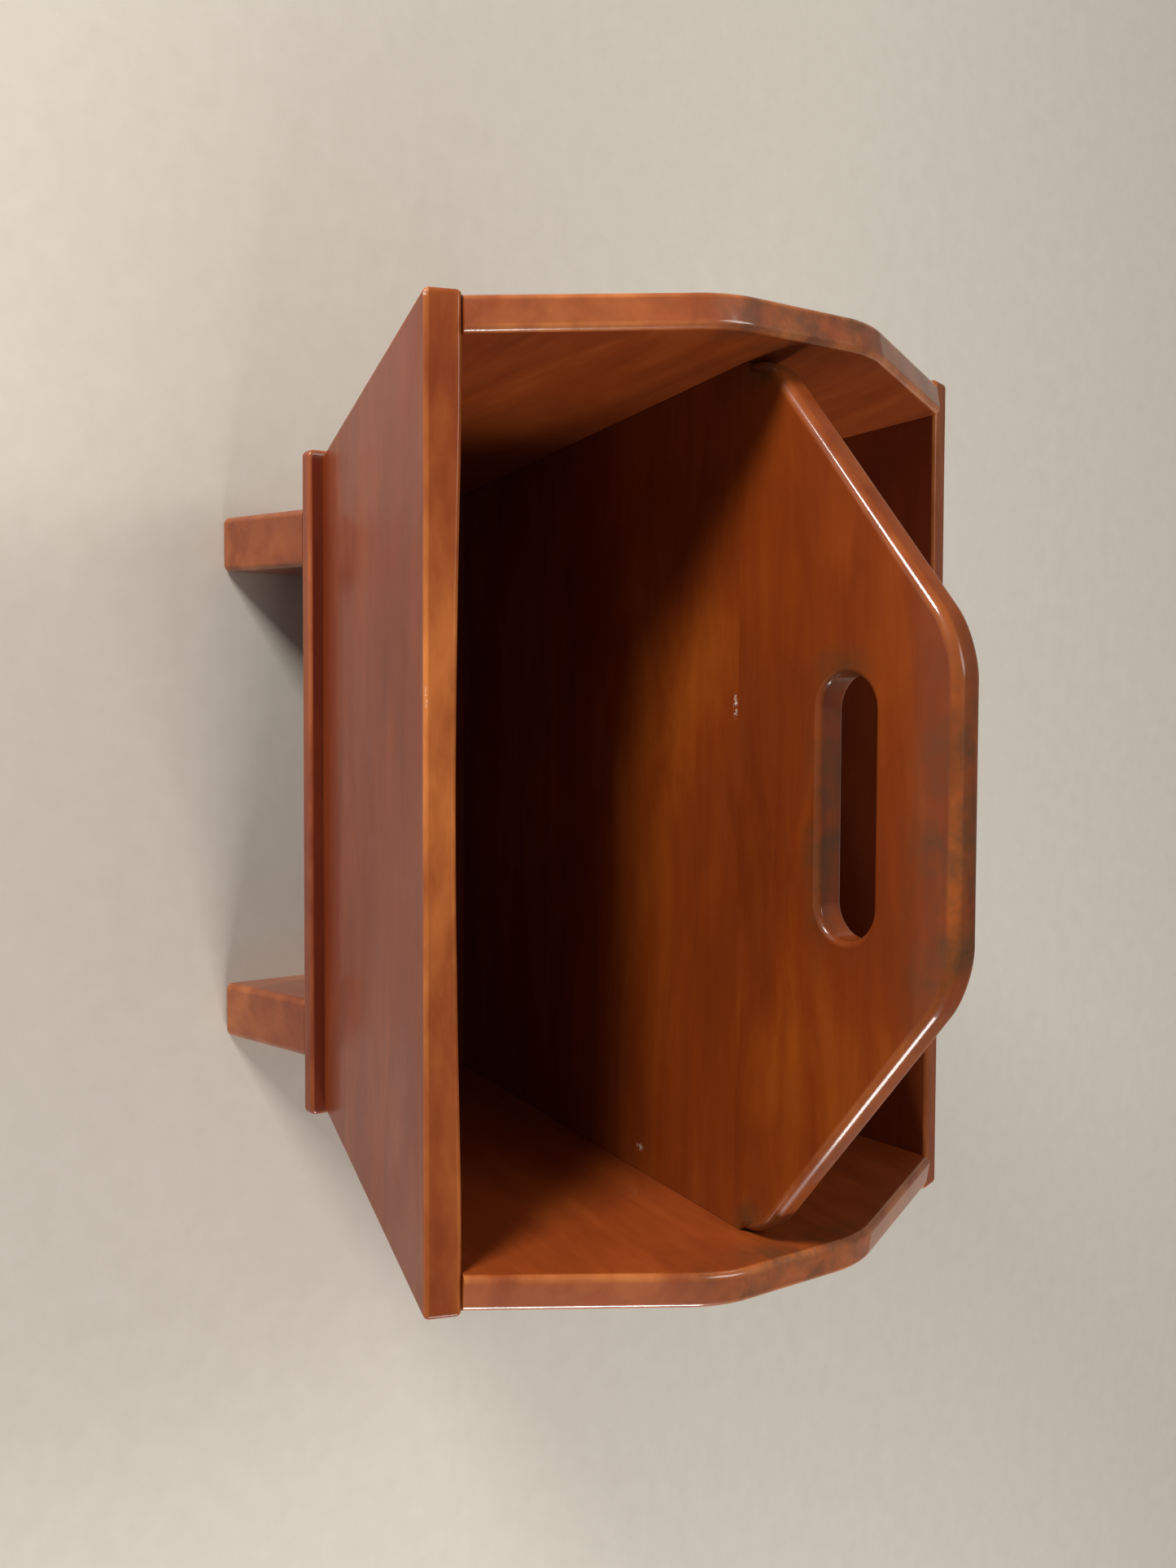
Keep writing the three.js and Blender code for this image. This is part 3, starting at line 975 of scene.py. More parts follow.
    def _is_outer_foot(self, edge: bmesh.types.BMEdge) -> bool:
        """Tells the outer face's lowest edge from the others.

        Args:
            edge: An edge of the trimmed board.

        Returns:
            Whether it is the long edge at the outer face's foot.
        """
        middle = (edge.verts[0].co + edge.verts[1].co) / 2
        length = abs((edge.verts[0].co - edge.verts[1].co).x)
        return (abs(middle.z - self.thickness) < TOUCH and length > self.FOOT_REACH
                and middle.y < self.FOOT_REACH)

    def score(self, point: Vector, normal: Vector) -> None:
        """Adds a line of vertices across the board without changing its shape."""
        self._cut(point, normal, planed=False)

    def _cut(self, point: Vector, normal: Vector,
             planed: bool) -> list[bmesh.types.BMVert | bmesh.types.BMEdge]:
        """Cuts the board along a plane.

        Args:
            point: A point on the plane.
            normal: Direction that the plane faces.
            planed: Whether what lies beyond the plane is taken away.

        Returns:
            The vertices and edges of the cut.
        """
        everything = [*self.mesh.verts, *self.mesh.edges, *self.mesh.faces]
        cut = bmesh.ops.bisect_plane(self.mesh, geom=everything, dist=MERGE, plane_co=point,
                                     plane_no=normal, clear_outer=planed)
        return cut["geom_cut"]

    def mark_wear(self) -> None:
        """Stores how exposed each vertex is: most on an arris, some on an edge, none on a face."""
        layer = self.mesh.verts.layers.float.new(WEAR)
        for vert in self.mesh.verts:
            depth = min(vert.co.z, self.thickness - vert.co.z)
            opening = self._in_opening(vert.co)
            arris = self.opening_arris if opening else self.arris
            if depth < TOUCH:
                vert[layer] = 0.0
            else:
                vert[layer] = 1.0 if depth < arris - TOUCH else self.EDGE_WEAR
            if opening:
                vert[layer] *= self.OPENING_WEAR

    def shape(self, move: Callable[[Vector], Vector]) -> None:
        """Moves every vertex by a rule.

        Args:
            move: Gives a vertex's new place from its old one.
        """
        for vert in self.mesh.verts:
            vert.co = move(vert.co)

    def finish(self, name: str, matrix: Matrix) -> bpy.types.Object:
        """Stands the board up and makes an object of it.

        Args:
            name: Name of the object.
            matrix: Frame that the board was drawn in.

        Returns:
            The object, at the origin.
        """
        bmesh.ops.transform(self.mesh, matrix=matrix, verts=list(self.mesh.verts))
        return to_object(name, self.mesh)


SHARP_ANGLE = math.radians(32)
BROAD_FACE_WEIGHT = 90


def to_object(name: str, mesh: bmesh.types.BMesh, even: bool = True) -> bpy.types.Object:
    """Makes an object from a mesh, smooth except across its sharp edges.

    Args:
        name: Name of the object.
        mesh: The mesh, which is used up.
        even: Whether broad faces decide the shading beside their arrises.

    Returns:
        The object, linked to the scene.
    """
    bmesh.ops.remove_doubles(mesh, verts=list(mesh.verts), dist=MERGE)
    data = bpy.data.meshes.new(name)
    mesh.to_mesh(data)
    mesh.free()
    data.shade_smooth()
    data.set_sharp_from_angle(angle=SHARP_ANGLE)
    piece = bpy.data.objects.new(name, data)
    bpy.context.scene.collection.objects.link(piece)
    if even:
        weighted = piece.modifiers.new("even_shading", "WEIGHTED_NORMAL")
        weighted.keep_sharp = True
        weighted.weight = BROAD_FACE_WEIGHT
    return piece


def register(piece: bpy.types.Object, material: bpy.types.Material, slot: str,
             *nodes: str) -> None:
    """Gives a piece its material, hangs it under the root, hides the CAD nodes that it replaces
    and logs its face count.

    Args:
        piece: The piece.
        material: Its material.
        slot: The record's material slot. Not used.
        *nodes: CAD nodes that the piece replaces.
    """
    piece.data.materials.clear()
    piece.data.materials.append(material)
    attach(piece, ROOT)
    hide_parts(*nodes)
    LOG.info("%s: %d faces", piece.name, len(piece.data.polygons))


# ------------------------------------------------------------------ walls


@dataclass
class Board(ABC):
    """One board of the rack.

    Attributes:
        sizes: The rack's shared sizes.
    """

    sizes: RackSizes

    slot = Slot.PANELS

    @property
    @abstractmethod
    def node(self) -> str:
        """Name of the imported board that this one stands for."""

    @abstractmethod
    def build(self) -> bpy.types.Object:
        """Builds the board."""

    @abstractmethod
    def finish(self) -> CherryFinish:
        """Chooses the board's finish."""

    def dress(self, piece: bpy.types.Object) -> None:
        """Gives the board its finish."""
        register(piece, self.finish().make(), self.slot.value, self.node)


@dataclass
class LongPanel(Board):
    """Front or back panel: a trapezoid, wider at the rim, that covers the end panels' edges.

    Attributes:
        wall: Which panel this is.
        arris: Radius of its eased edges.
        corner: Radius of its two top corners.
        foot_arris: Radius of its outer edge where it stands on the base plate.
        hollow: How far years of hands have worn the inner arris back at mid-length.
        hollow_reach: How far down the inner face that wear reaches.
        hollow_spread: How far along the rim it reaches, as a share of the rim's half.
        rub_depth: How far down from the rim its stain is rubbed thin.
        rub_spread: How far along the rim that reaches, as a share of the rim's half.
    """

    wall: Wall
    arris: float = 2.4 * MM
    corner: float = 3 * MM
    foot_arris: float = 1.2 * MM
    hollow: float = 3.0 * MM
    hollow_reach: float = 16 * MM
    hollow_spread: float = 0.8
    rub_depth: float = 3 * MM
    rub_spread: float = 0.6

    HOLLOW_COLUMNS = 24
    HOLLOW_ROWS = 4
    HOLLOW_TAPER = 1.5
    HOLLOW_DEPTH_TAPER = 1.4
    RUB_STRENGTH = 0.5
    RIM_MARKS = (Mark((-48 * MM, -168 * MM, 318 * MM), (8 * MM, 2 * MM, 0.8 * MM)),
                 Mark((-214 * MM, -167 * MM, 317 * MM), (2 * MM, 4 * MM, 2 * MM)))

    @property
    def node(self) -> str:
        """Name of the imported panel."""
        return f"{self.wall.name.lower()}_panel"

    def build(self) -> bpy.types.Object:
        """Builds the panel.

        Returns:
            The panel's object.
        """
        sizes = self.sizes
        rim = sizes.slope_to(sizes.rim_height, sizes.long_splay)
        lean = math.cos(sizes.long_splay) * math.tan(sizes.end_splay)
        top = sizes.rim_length / 2
        bottom = top - (rim + sizes.trim) * lean
        work = BoardWork(sizes.board, self.arris)
        work.outline([(-bottom, -sizes.trim, 0), (bottom, -sizes.trim, 0),
                      (top, rim, self.corner), (-top, rim, self.corner)])
        work.thicken()
        work.ease()
        place = self.wall.frame(sizes)
        ground = place.inverted() @ Vector((0, 0, sizes.body_bottom + sizes.gap))
        down = place.inverted().to_3x3() @ Vector((0, 0, -1))
        work.trim(ground, down)
        work.ease_foot(self.foot_arris)
        work.mark_wear()
        self._wear_hollow(work, rim, top)
        return work.finish(f"{self.node}_board", place)

    def _wear_hollow(self, work: BoardWork, rim: float, top: float) -> None:
        """Wears the inner arris back along the middle of the rim.

        Args:
            work: The trimmed panel.
            rim: Height of the rim up the board.
            top: Half the rim's length.
        """
        for i in range(1, self.HOLLOW_COLUMNS):
            across = Vector((top * (2 * i / self.HOLLOW_COLUMNS - 1), 0, 0))
            work.score(across, Vector((1, 0, 0)))
        for i in range(1, self.HOLLOW_ROWS + 1):
            along = Vector((0, rim - self.hollow_reach * i / self.HOLLOW_ROWS, 0))
            work.score(along, Vector((0, 1, 0)))
        thickness = self.sizes.board

        def move(place: Vector) -> Vector:
            """Pushes the inner side outward, most at mid-length and at the rim.

            Args:
                place: A place on the board.

            Returns:
                Where it is moved to.
            """
            middle = max(0.0, 1 - (place.x / (self.hollow_spread * top)) ** 2)
            depth = min(1.0, max(0.0, 1 - (rim - place.y) / self.hollow_reach))
            inner = max(0.0, 1 - place.z / thickness)
            push = (self.hollow * middle ** self.HOLLOW_TAPER
                    * depth ** self.HOLLOW_DEPTH_TAPER * inner)
            return place + Vector((0, 0, push))

        self._rub(work, rim, top)
        work.shape(move)

    def _rub(self, work: BoardWork, rim: float, top: float) -> None:
        """Rubs the stain of the rim thin along its middle.

        Args:
            work: The panel, with its wear marked.
            rim: Height of the rim up the board.
            top: Half the rim's length.
        """
        layer = work.mesh.verts.layers.float[WEAR]
        for vert in work.mesh.verts:
            if vert.co.y > rim - self.rub_depth:
                middle = max(0.0, 1 - (vert.co.x / (self.rub_spread * top)) ** 2)
                vert[layer] += self.RUB_STRENGTH * middle

    def finish(self) -> CherryFinish:
        """Chooses the panel's finish.

        Returns:
            Rose-brown cherry, with two rubbed marks on the front panel's rim.
        """
        front = self.wall is Wall.FRONT
        return CherryFinish(f"{self.node}_cherry", ROSE_BROWN, Grain.ALONG_X,
                            shift=(0.3, 1.7, 0.2) if front else (2.1, 0.4, 3.3),
                            marks=self.RIM_MARKS if front else (), coat=0.24)


@dataclass
class EndPanel(Board):
    """End panel: its edge climbs from the rim to a short level crest.

    Attributes:
        wall: Which panel this is.
        crest_height: Floor to the crest's outer arris.
        crest_half: Half the level part of the crest, to its unrounded corners.
        crest_radius: Rounding where the crest turns down.
        arris: Radius of its eased edges.
    """

    wall: Wall
    crest_height: float = 372.5 * MM
    crest_half: float = 45 * MM
    crest_radius: float = 62 * MM
    arris: float = 3.4 * MM

    @property
    def node(self) -> str:
        """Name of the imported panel."""
        return f"{self.wall.name.lower()}_end_panel"

    def build(self) -> bpy.types.Object:
        """Builds the panel.

        Returns:
            The panel's object.
        """
        sizes = self.sizes
        rim_inner = sizes.rim_depth / 2 - sizes.board * math.cos(sizes.long_splay)
        rim_height = sizes.rim_height + sizes.board * math.sin(sizes.long_splay)
        crest = sizes.slope_to(self.crest_height, sizes.end_splay)
        rim = sizes.slope_to(rim_height, sizes.end_splay)
        fall = (crest - rim) / (rim_inner - self.crest_half)
        reach = rim_inner + sizes.trim
        edge = rim - sizes.trim * fall
        work = BoardWork(sizes.board, self.arris)
        work.outline([(-reach, -sizes.trim, 0), (reach, -sizes.trim, 0), (reach, edge, 0),
                      (self.crest_half, crest, self.crest_radius),
                      (-self.crest_half, crest, self.crest_radius), (-reach, edge, 0)])
        work.thicken()
        work.ease()
        place = self.wall.frame(sizes)
        home = place.inverted()
        work.trim(home @ Vector((0, 0, sizes.body_bottom + sizes.gap)),
                  home.to_3x3() @ Vector((0, 0, -1)))
        for neighbour in (Wall.FRONT, Wall.BACK):
            side = neighbour.frame(sizes)
            out = side.to_3x3() @ Vector((0, 0, 1))
            work.trim(home @ (side.translation - out * sizes.gap), home.to_3x3() @ out)
        work.mark_wear()
        return work.finish(f"{self.wall.name.lower()}_end_board", place)

    def finish(self) -> CherryFinish:
        """Chooses the panel's finish.

        Returns:
            Glossy red-brown cherry, its crest darkened partly by grime and partly by a painted
            dark reflection.
        """
        left = self.wall is Wall.LEFT
        crest = math.copysign(self.sizes.rim_length / 2, -1 if left else 1)
        # Dark patch over the crest: partly grime, partly a painted dark reflection where the crest
        # faces up.
        crest_grime_and_shade = Mark.dark_grime_and_shade((crest, 10 * MM, 374 * MM), (40 * MM, 90 * MM, 24 * MM), 0.8)
        return CherryFinish(f"{self.wall.name.lower()}_end_cherry", RED_BROWN, Grain.UP_BOARD,
                            shift=(0.7, 2.9, 1.1) if left else (1.9, 0.6, 2.4),
                            marks=(crest_grime_and_shade,), coat=0.9)


# ------------------------------------------------------------------ divider


@dataclass
class CenterDivider(Board):
    """Full-height board with sloping shoulders and a hand slot under its top.

    Attributes:
        top_half: Half the level top, to its unrounded corners.
        top_radius: Rounding where the top turns into the shoulders.
        shoulder_slope: Fall of the shoulders.
        shoulder_radius: Rounding where a shoulder drops to its end panel.
        arris: Radius of its eased edges.
        slot_height: Floor to the middle of the slot.
        slot_half: Half the slot's length.
        slot_radius: Half the slot's height.
        glue_line: Height at which its two planks are glued edge to edge.
    """

    top_half: float = 73 * MM
    top_radius: float = 48 * MM
    shoulder_slope: float = math.radians(40.4)
    shoulder_radius: float = 22 * MM
    arris: float = 5 * MM
    slot_height: float = 407.5 * MM
    slot_half: float = 58.5 * MM
    slot_radius: float = 16 * MM
    glue_line: float = 341 * MM

    node = "center_divider"
    slot = Slot.DIVIDER

    def build(self) -> bpy.types.Object:
        """Builds the divider.

        Returns:
            The divider's object.
        """
        sizes = self.sizes
        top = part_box(self.node)[1].z
        drop = math.tan(self.shoulder_slope)
        lean = math.tan(sizes.end_splay)
        inner = sizes.end_inner_at(top) - sizes.gap / math.cos(sizes.end_splay)
        run = (inner - self.top_half) / (1 + drop * lean)
        shoulder_x = self.top_half + run
        shoulder_z = top - run * drop
        foot_z = sizes.floor_top - sizes.trim
        foot_x = shoulder_x - (shoulder_z - foot_z) * lean
        work = BoardWork(sizes.board, self.arris,
                         housed_below=shoulder_z - self.shoulder_radius / 2)
        work.outline([(-foot_x, foot_z, 0), (foot_x, foot_z, 0),
                      (shoulder_x, shoulder_z, self.shoulder_radius),
                      (self.top_half, top, self.top_radius),
                      (-self.top_half, top, self.top_radius),
                      (-shoulder_x, shoulder_z, self.shoulder_radius)])
        work.pierce((0, self.slot_height), self.slot_half, self.slot_radius)
        work.thicken()
        work.ease()
        work.trim(Vector((0, sizes.floor_top + sizes.gap, 0)), Vector((0, -1, 0)))
        work.mark_wear()
        place = Matrix.Translation((0, sizes.board / 2, 0)) @ Matrix.Rotation(math.pi / 2, 4, "X")
        return work.finish("center_divider_board", place)

    def finish(self) -> CherryFinish:
        """Chooses the divider's finish.

        Returns:
            Amber cherry of two planks, rubbed in two places, darkened at its top and slot by grime
            and painted shade, and at its shoulder ends by painted shade.
        """
        face = -self.sizes.board / 2
        rubbed = (Mark((-44 * MM, face, 339 * MM), (7 * MM, 2 * MM, 1.6 * MM)),
                  Mark((177 * MM, face, 273 * MM), (2.5 * MM, 2 * MM, 3.5 * MM)))
        # Dark patch over the upper part: partly grime, partly painted shade on the brightly lit
        # upper part and a painted dark reflection on the level top.
        top = Mark.dark_grime_and_shade((30 * MM, 0, 474 * MM), (130 * MM, 30 * MM, 42 * MM), 0.8)
        # Dark spots where the shoulders meet the end panels: painted shade and painted dark
        # reflection in the joint.
        shoulder_end_shade = [Mark.dark_grime_and_shade((side.value * 199 * MM, 0, 352 * MM),
                                     (16 * MM, 30 * MM, 15 * MM), 0.85) for side in Side]
        # Dark spots at the slot's end and floor: partly grime, partly painted shade inside the
        # slot.
        slot_end_grime_and_shade = Mark.dark_grime_and_shade((-60 * MM, 0, 405 * MM), (16 * MM, 20 * MM, 22 * MM), 0.8)
        slot_floor_grime_and_shade = Mark.dark_grime_and_shade((10 * MM, 0, 391 * MM), (80 * MM, 20 * MM, 12 * MM), 0.85)
        return CherryFinish("divider_cherry", AMBER, Grain.ALONG_X, shift=(0.9, 0.2, 1.4),
                            marks=(*rubbed, top, *shoulder_end_shade, slot_end_grime_and_shade, slot_floor_grime_and_shade),
                            wear=0.6, coat=0.42, glue_line=self.glue_line)


# ------------------------------------------------------------------ bottom


@dataclass
class FloorBoard(Board):
    """Floor of the trough, its edges planed to the lean of the walls around it."""

    node = "floor_board"
    slot = Slot.DARK

    def build(self) -> bpy.types.Object:
        """Builds the floor board.

        Returns:
            The floor board's object.
        """
        low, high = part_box(self.node)
        mesh = bmesh.new()
        bmesh.ops.create_cube(mesh, size=1.0)
        spread = self.sizes.trim
        bmesh.ops.scale(mesh, vec=(high.x - low.x + spread, high.y - low.y + spread,
                                   high.z - low.z), verts=list(mesh.verts))
        bmesh.ops.translate(mesh, vec=(0, 0, (low.z + high.z) / 2), verts=list(mesh.verts))
        work = BoardWork(high.z - low.z, 0.0, mesh=mesh)
        for wall in Wall:
            side = wall.frame(self.sizes)
            out = side.to_3x3() @ Vector((0, 0, 1))
            work.trim(side.translation - out * self.sizes.gap, out)
        mesh.verts.layers.float.new(WEAR)
        return to_object("trough_floor", mesh, even=False)

    def finish(self) -> CherryFinish:
        """Chooses maroon cherry, a darker stain that partly serves as painted shade."""
        return CherryFinish("floor_cherry", SHADED_MAROON, Grain.ALONG_X, shift=(3.3, 1.2, 0.8))


@dataclass
class BasePlate(Board):
    """Thin board whose eased edge shows as a ledge around the foot of the walls.

    Attributes:
        corner: Radius of its corners in plan.
        arris: Radius of its eased edges.
    """

    corner: float = 4 * MM
    arris: float = 2.2 * MM

    node = "base_plate"
    slot = Slot.DARK

    def build(self) -> bpy.types.Object:
        """Builds the base plate.

        Returns:
            The base plate's object.
        """
        low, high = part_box(self.node)
        work = BoardWork(high.z - low.z, self.arris)
        work.outline([(low.x, low.y, self.corner), (high.x, low.y, self.corner),
                      (high.x, high.y, self.corner), (low.x, high.y, self.corner)])
        work.thicken()
        work.ease()
        work.mark_wear()
        return work.finish("base_ledge_board", Matrix.Translation((0, 0, low.z)))

    def finish(self) -> CherryFinish:
        """Chooses maroon cherry, a darker stain that partly serves as painted shade."""
        return CherryFinish("base_cherry", SHADED_MAROON, Grain.ALONG_X, shift=(1.3, 3.1, 2.2))


@dataclass
class Foot(Board):
    """Foot: a board on edge, front to back, arched so that it stands on two toes.

    Attributes:
        side: Which foot this is.
        width: Thickness of the foot along X.
        splay: Sideways travel between its top and its toe.
        corner: Radius of the toe's front and back corners.
        arris: Radius of its eased edges.
        toe: Length of each toe.
        rise: Height of the arch.
        scuff_height: Height up to which its stain is rubbed thin.
        score_heights: Heights of the lines of vertices that carry that rubbing.
    """

    side: Side
    width: float = 31.5 * MM
    splay: float = 2.4 * MM
    corner: float = 4.5 * MM
    arris: float = 4 * MM
    toe: float = 54 * MM
    rise: float = 22 * MM
    scuff_height: float = 60 * MM
    score_heights: tuple[float, float] = (20 * MM, 45 * MM)

    ARCH_FACETS = 28
    CORNER_FACETS = 6
    SCUFF_STRENGTH = 0.7
    ARRIS_WEAR = 0.4

    @property
    def node(self) -> str:
        """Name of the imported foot."""
        return f"{self.side.name.lower()}_foot"

    def build(self) -> bpy.types.Object:
        """Builds the foot.

        Returns:
            The foot's object.
        """
        low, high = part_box(self.node)
        work = BoardWork(self.width, self.arris)
        self._outline(work, high.y, high.z - low.z)
        work.thicken()
        work.ease()
        for height in self.score_heights:
            work.score(Vector((0, height, 0)), Vector((0, 1, 0)))
        work.mark_wear()
        self._scuff_toe(work)
        # Drawn in YZ with its thickness along X, then leaned so that the toe stands outside.
        upright = Matrix(((0, 0, 1, 0), (1, 0, 0, 0), (0, 1, 0, 0), (0, 0, 0, 1)))
        centred = Matrix.Translation((0, 0, -self.width / 2))
        lean = Matrix.Identity(4)
        lean[0][2] = -self.side.value * self.splay / (high.z - low.z + self.sizes.gap)
        right = self.side is Side.RIGHT
        middle = high.x - self.width / 2 if right else low.x + self.width / 2
        place = Matrix.Translation((middle, 0, low.z)) @ lean @ upright @ centred
        return work.finish(f"{self.node}_board", place)

    def _scuff_toe(self, work: BoardWork) -> None:
        """Rubs the stain thin near the floor.

        Args:
            work: The foot, with its wear marked.
        """
        layer = work.mesh.verts.layers.float[WEAR]
        for vert in work.mesh.verts:
            low = max(0.0, 1 - vert.co.y / self.scuff_height)
            vert[layer] = self.ARRIS_WEAR * vert[layer] + self.SCUFF_STRENGTH * low

    def _outline(self, work: BoardWork, reach: float, top: float) -> None:
        """Lays out the foot's side view with its arch.

        Args:
            work: The empty board.
            reach: Middle of the foot to the end of a toe.
            top: Height of the foot.
        """
        mesh = work.mesh
        half = reach - self.toe
        radius = (half ** 2 + self.rise ** 2) / (2 * self.rise)
        turn = 2 * math.asin(half / radius)
        centre = Vector((0, self.rise - radius, 0))
        start = mesh.verts.new((-half, 0, 0))
        swept = bmesh.ops.spin(mesh, geom=[start], cent=centre, axis=(0, 0, 1), angle=-turn,
                               steps=self.ARCH_FACETS, use_duplicate=False)
        end = next(item for item in swept["geom_last"] if isinstance(item, bmesh.types.BMVert))
        toes = [mesh.verts.new((x, y, 0)) for x, y in
                ((reach, 0), (reach, top), (-reach, top), (-reach, 0))]
        chain = [end, *toes, start]
        for first, second in zip(chain, chain[1:]):
            mesh.edges.new((first, second))
        bmesh.ops.contextual_create(mesh, geom=list(mesh.edges))
        for corner in (toes[0], toes[3]):
            work.bevel([corner], self.corner, self.CORNER_FACETS, Rounded.CORNERS)
        bmesh.ops.recalc_face_normals(mesh, faces=list(mesh.faces))

    def finish(self) -> CherryFinish:
        """Chooses rose-brown cherry."""
        return CherryFinish(f"{self.node}_cherry", ROSE_BROWN, Grain.FRONT_TO_BACK,
                            shift=(0.4 * self.side.value, 2.2, 0.5))


# ------------------------------------------------------------------ fasteners


class Corner(Enum):
    """The four corners of the base plate."""

    LEFT_FRONT = "left_front"
    LEFT_BACK = "left_back"
    RIGHT_FRONT = "right_front"
    RIGHT_BACK = "right_back"


@dataclass
class BaseScrew:
    """Slotted countersunk screw whose head shows in the base plate's underside.

    Attributes:
        corner: Which screw this is.
        slot_width: Width of the driver slot.
        slot_depth: Depth of the driver slot.
        face: Radius of the head's flat face, as a share of the head's.
        shank: Radius of the shank, as a share of the head's.
        root: Radius at the thread's root, as a share of the shank's.
        bevel: Height of the small bevel round the face.
        rim: Height of the head's widest part.
        neck: Height at which the head has narrowed to the shank.
        smooth: Height at which the thread starts.
        pitch: Height of one turn of the thread.
        tip: Length of the pointed end.
        facets: Facets round the screw.
    """

    corner: Corner
    slot_width: float = 1.1 * MM
    slot_depth: float = 1.2 * MM
    face: float = 0.97
    shank: float = 0.51
    root: float = 0.72
    bevel: float = 0.12 * MM
    rim: float = 0.4 * MM
    neck: float = 2.6 * MM
    smooth: float = 8 * MM
    pitch: float = 2 * MM
    tip: float = 4 * MM
    facets: int = 40

    THREAD_STEPS = (0.35, 0.65, 0.95)

    @property
    def node(self) -> str:
        """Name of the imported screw."""
        return f"{self.corner.value}_base_screw"

    def build(self) -> bpy.types.Object:
        """Builds the screw.

        Returns:
            The screw's object.
        """
        low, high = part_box(self.node)
        mesh = bmesh.new()
        profile = self._profile((high.y - low.y) / 2, high.z - low.z)
        verts = [mesh.verts.new((x, 0, z)) for x, z in profile]
        edges = [mesh.edges.new(pair) for pair in zip(verts, verts[1:])]
        bmesh.ops.spin(mesh, geom=[*verts, *edges], cent=(0, 0, 0), axis=(0, 0, 1),
                       angle=2 * math.pi, steps=self.facets, use_merge=True,
                       use_duplicate=False)
        bmesh.ops.remove_doubles(mesh, verts=list(mesh.verts), dist=MERGE)
        bmesh.ops.recalc_face_normals(mesh, faces=list(mesh.faces))
        self._cut_slot(mesh)
        middle = (low + high) / 2
        bmesh.ops.translate(mesh, vec=(middle.x, middle.y, low.z), verts=list(mesh.verts))
        return to_object(f"{self.node}_turned", mesh, even=False)

    def _profile(self, head: float, length: float) -> list[tuple[float, float]]:
        """Draws half the screw's outline, from the middle of its face to its point.

        Args:
            head: Radius of the head.
            length: Length of the screw.

        Returns:
            Each corner's radius and height.
        """
        shank = head * self.shank
        root = shank * self.root
        profile = [(0, 0), (head * self.face, 0), (head, self.bevel), (head, self.rim),
                   (shank, self.neck), (shank, self.smooth)]
        height = self.smooth
        while height < length - (self.tip + self.pitch):
            foot, top, crest = (height + share * self.pitch for share in self.THREAD_STEPS)
            profile += [(root, foot), (root, top), (shank, crest)]
            height += self.pitch
        return [*profile, (root, length - self.tip), (0, length)]

    def _cut_slot(self, mesh: bmesh.types.BMesh) -> None:
        """Sinks the driver slot into the head.

        Args:
            mesh: The screw, with its face at height 0.
        """
        for side in (-1, 1):
            head = [face for face in mesh.faces if face.calc_center_median().z < self.rim]
            geometry = {item for face in head for item in (face, *face.edges, *face.verts)}
            bmesh.ops.bisect_plane(mesh, geom=list(geometry), dist=MERGE / 10,
                                   plane_co=(0, side * self.slot_width / 2, 0),
                                   plane_no=(0, 1, 0))
        floor = [face for face in mesh.faces
                 if face.calc_center_median().z < TOUCH
                 and abs(face.calc_center_median().y) < self.slot_width / 2]
        sunk = bmesh.ops.extrude_face_region(mesh, geom=floor)
        bmesh.ops.delete(mesh, geom=floor, context="FACES")
        verts = [item for item in sunk["geom"] if isinstance(item, bmesh.types.BMVert)]
        bmesh.ops.translate(mesh, verts=verts, vec=(0, 0, self.slot_depth))
        bmesh.ops.recalc_face_normals(mesh, faces=list(mesh.faces))

    def dress(self, piece: bpy.types.Object, steel: bpy.types.Material) -> None:
        """Gives the screw its finish."""
        register(piece, steel, Slot.STEEL.value, self.node)


@dataclass
class HiddenHardware:
    """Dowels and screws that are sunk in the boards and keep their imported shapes.

    Attributes:
        birch: Finish of the dowels.
    """

    birch: BirchFinish = BirchFinish()

    def dress(self, steel: bpy.types.Material) -> None:
        """Gives each packed dowel and screw its finish.

        Args:
            steel: Material of the screws.
        """
        birch = self.birch.make()
        for name, node in sorted(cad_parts.items()):
            if "dowel" in name or "screw" in name:
                node.data.materials.clear()
                node.data.materials.append(birch if "dowel" in name else steel)
                LOG.info("%s: packed shape kept", name)


# ------------------------------------------------------------------ studio


@dataclass(frozen=True)
class SoftLight:
    """A rectangular light that faces the rack.

    Attributes:
        name: Name of the light.
        place: Where it hangs.
        size: Its width and height.
        power: Its power in watts.
        colour: Its colour.
        aim: What it faces.
    """

    name: str
    place: Triple
    size: tuple[float, float]
    power: float
    colour: Triple
    aim: Triple = (0.0, 0.0, 0.25)

    def hang(self) -> None:
        """Adds the light to the scene."""
        lamp = bpy.data.lights.new(self.name, "AREA")
        lamp.shape = "RECTANGLE"
        lamp.size, lamp.size_y = self.size
        lamp.energy = self.power
        lamp.color = self.colour
        holder = bpy.data.objects.new(self.name, lamp)
        bpy.context.scene.collection.objects.link(holder)
        heading = Vector(self.aim) - Vector(self.place)
        holder.matrix_world = (Matrix.Translation(self.place)
                               @ heading.to_track_quat("-Z", "Y").to_matrix().to_4x4())


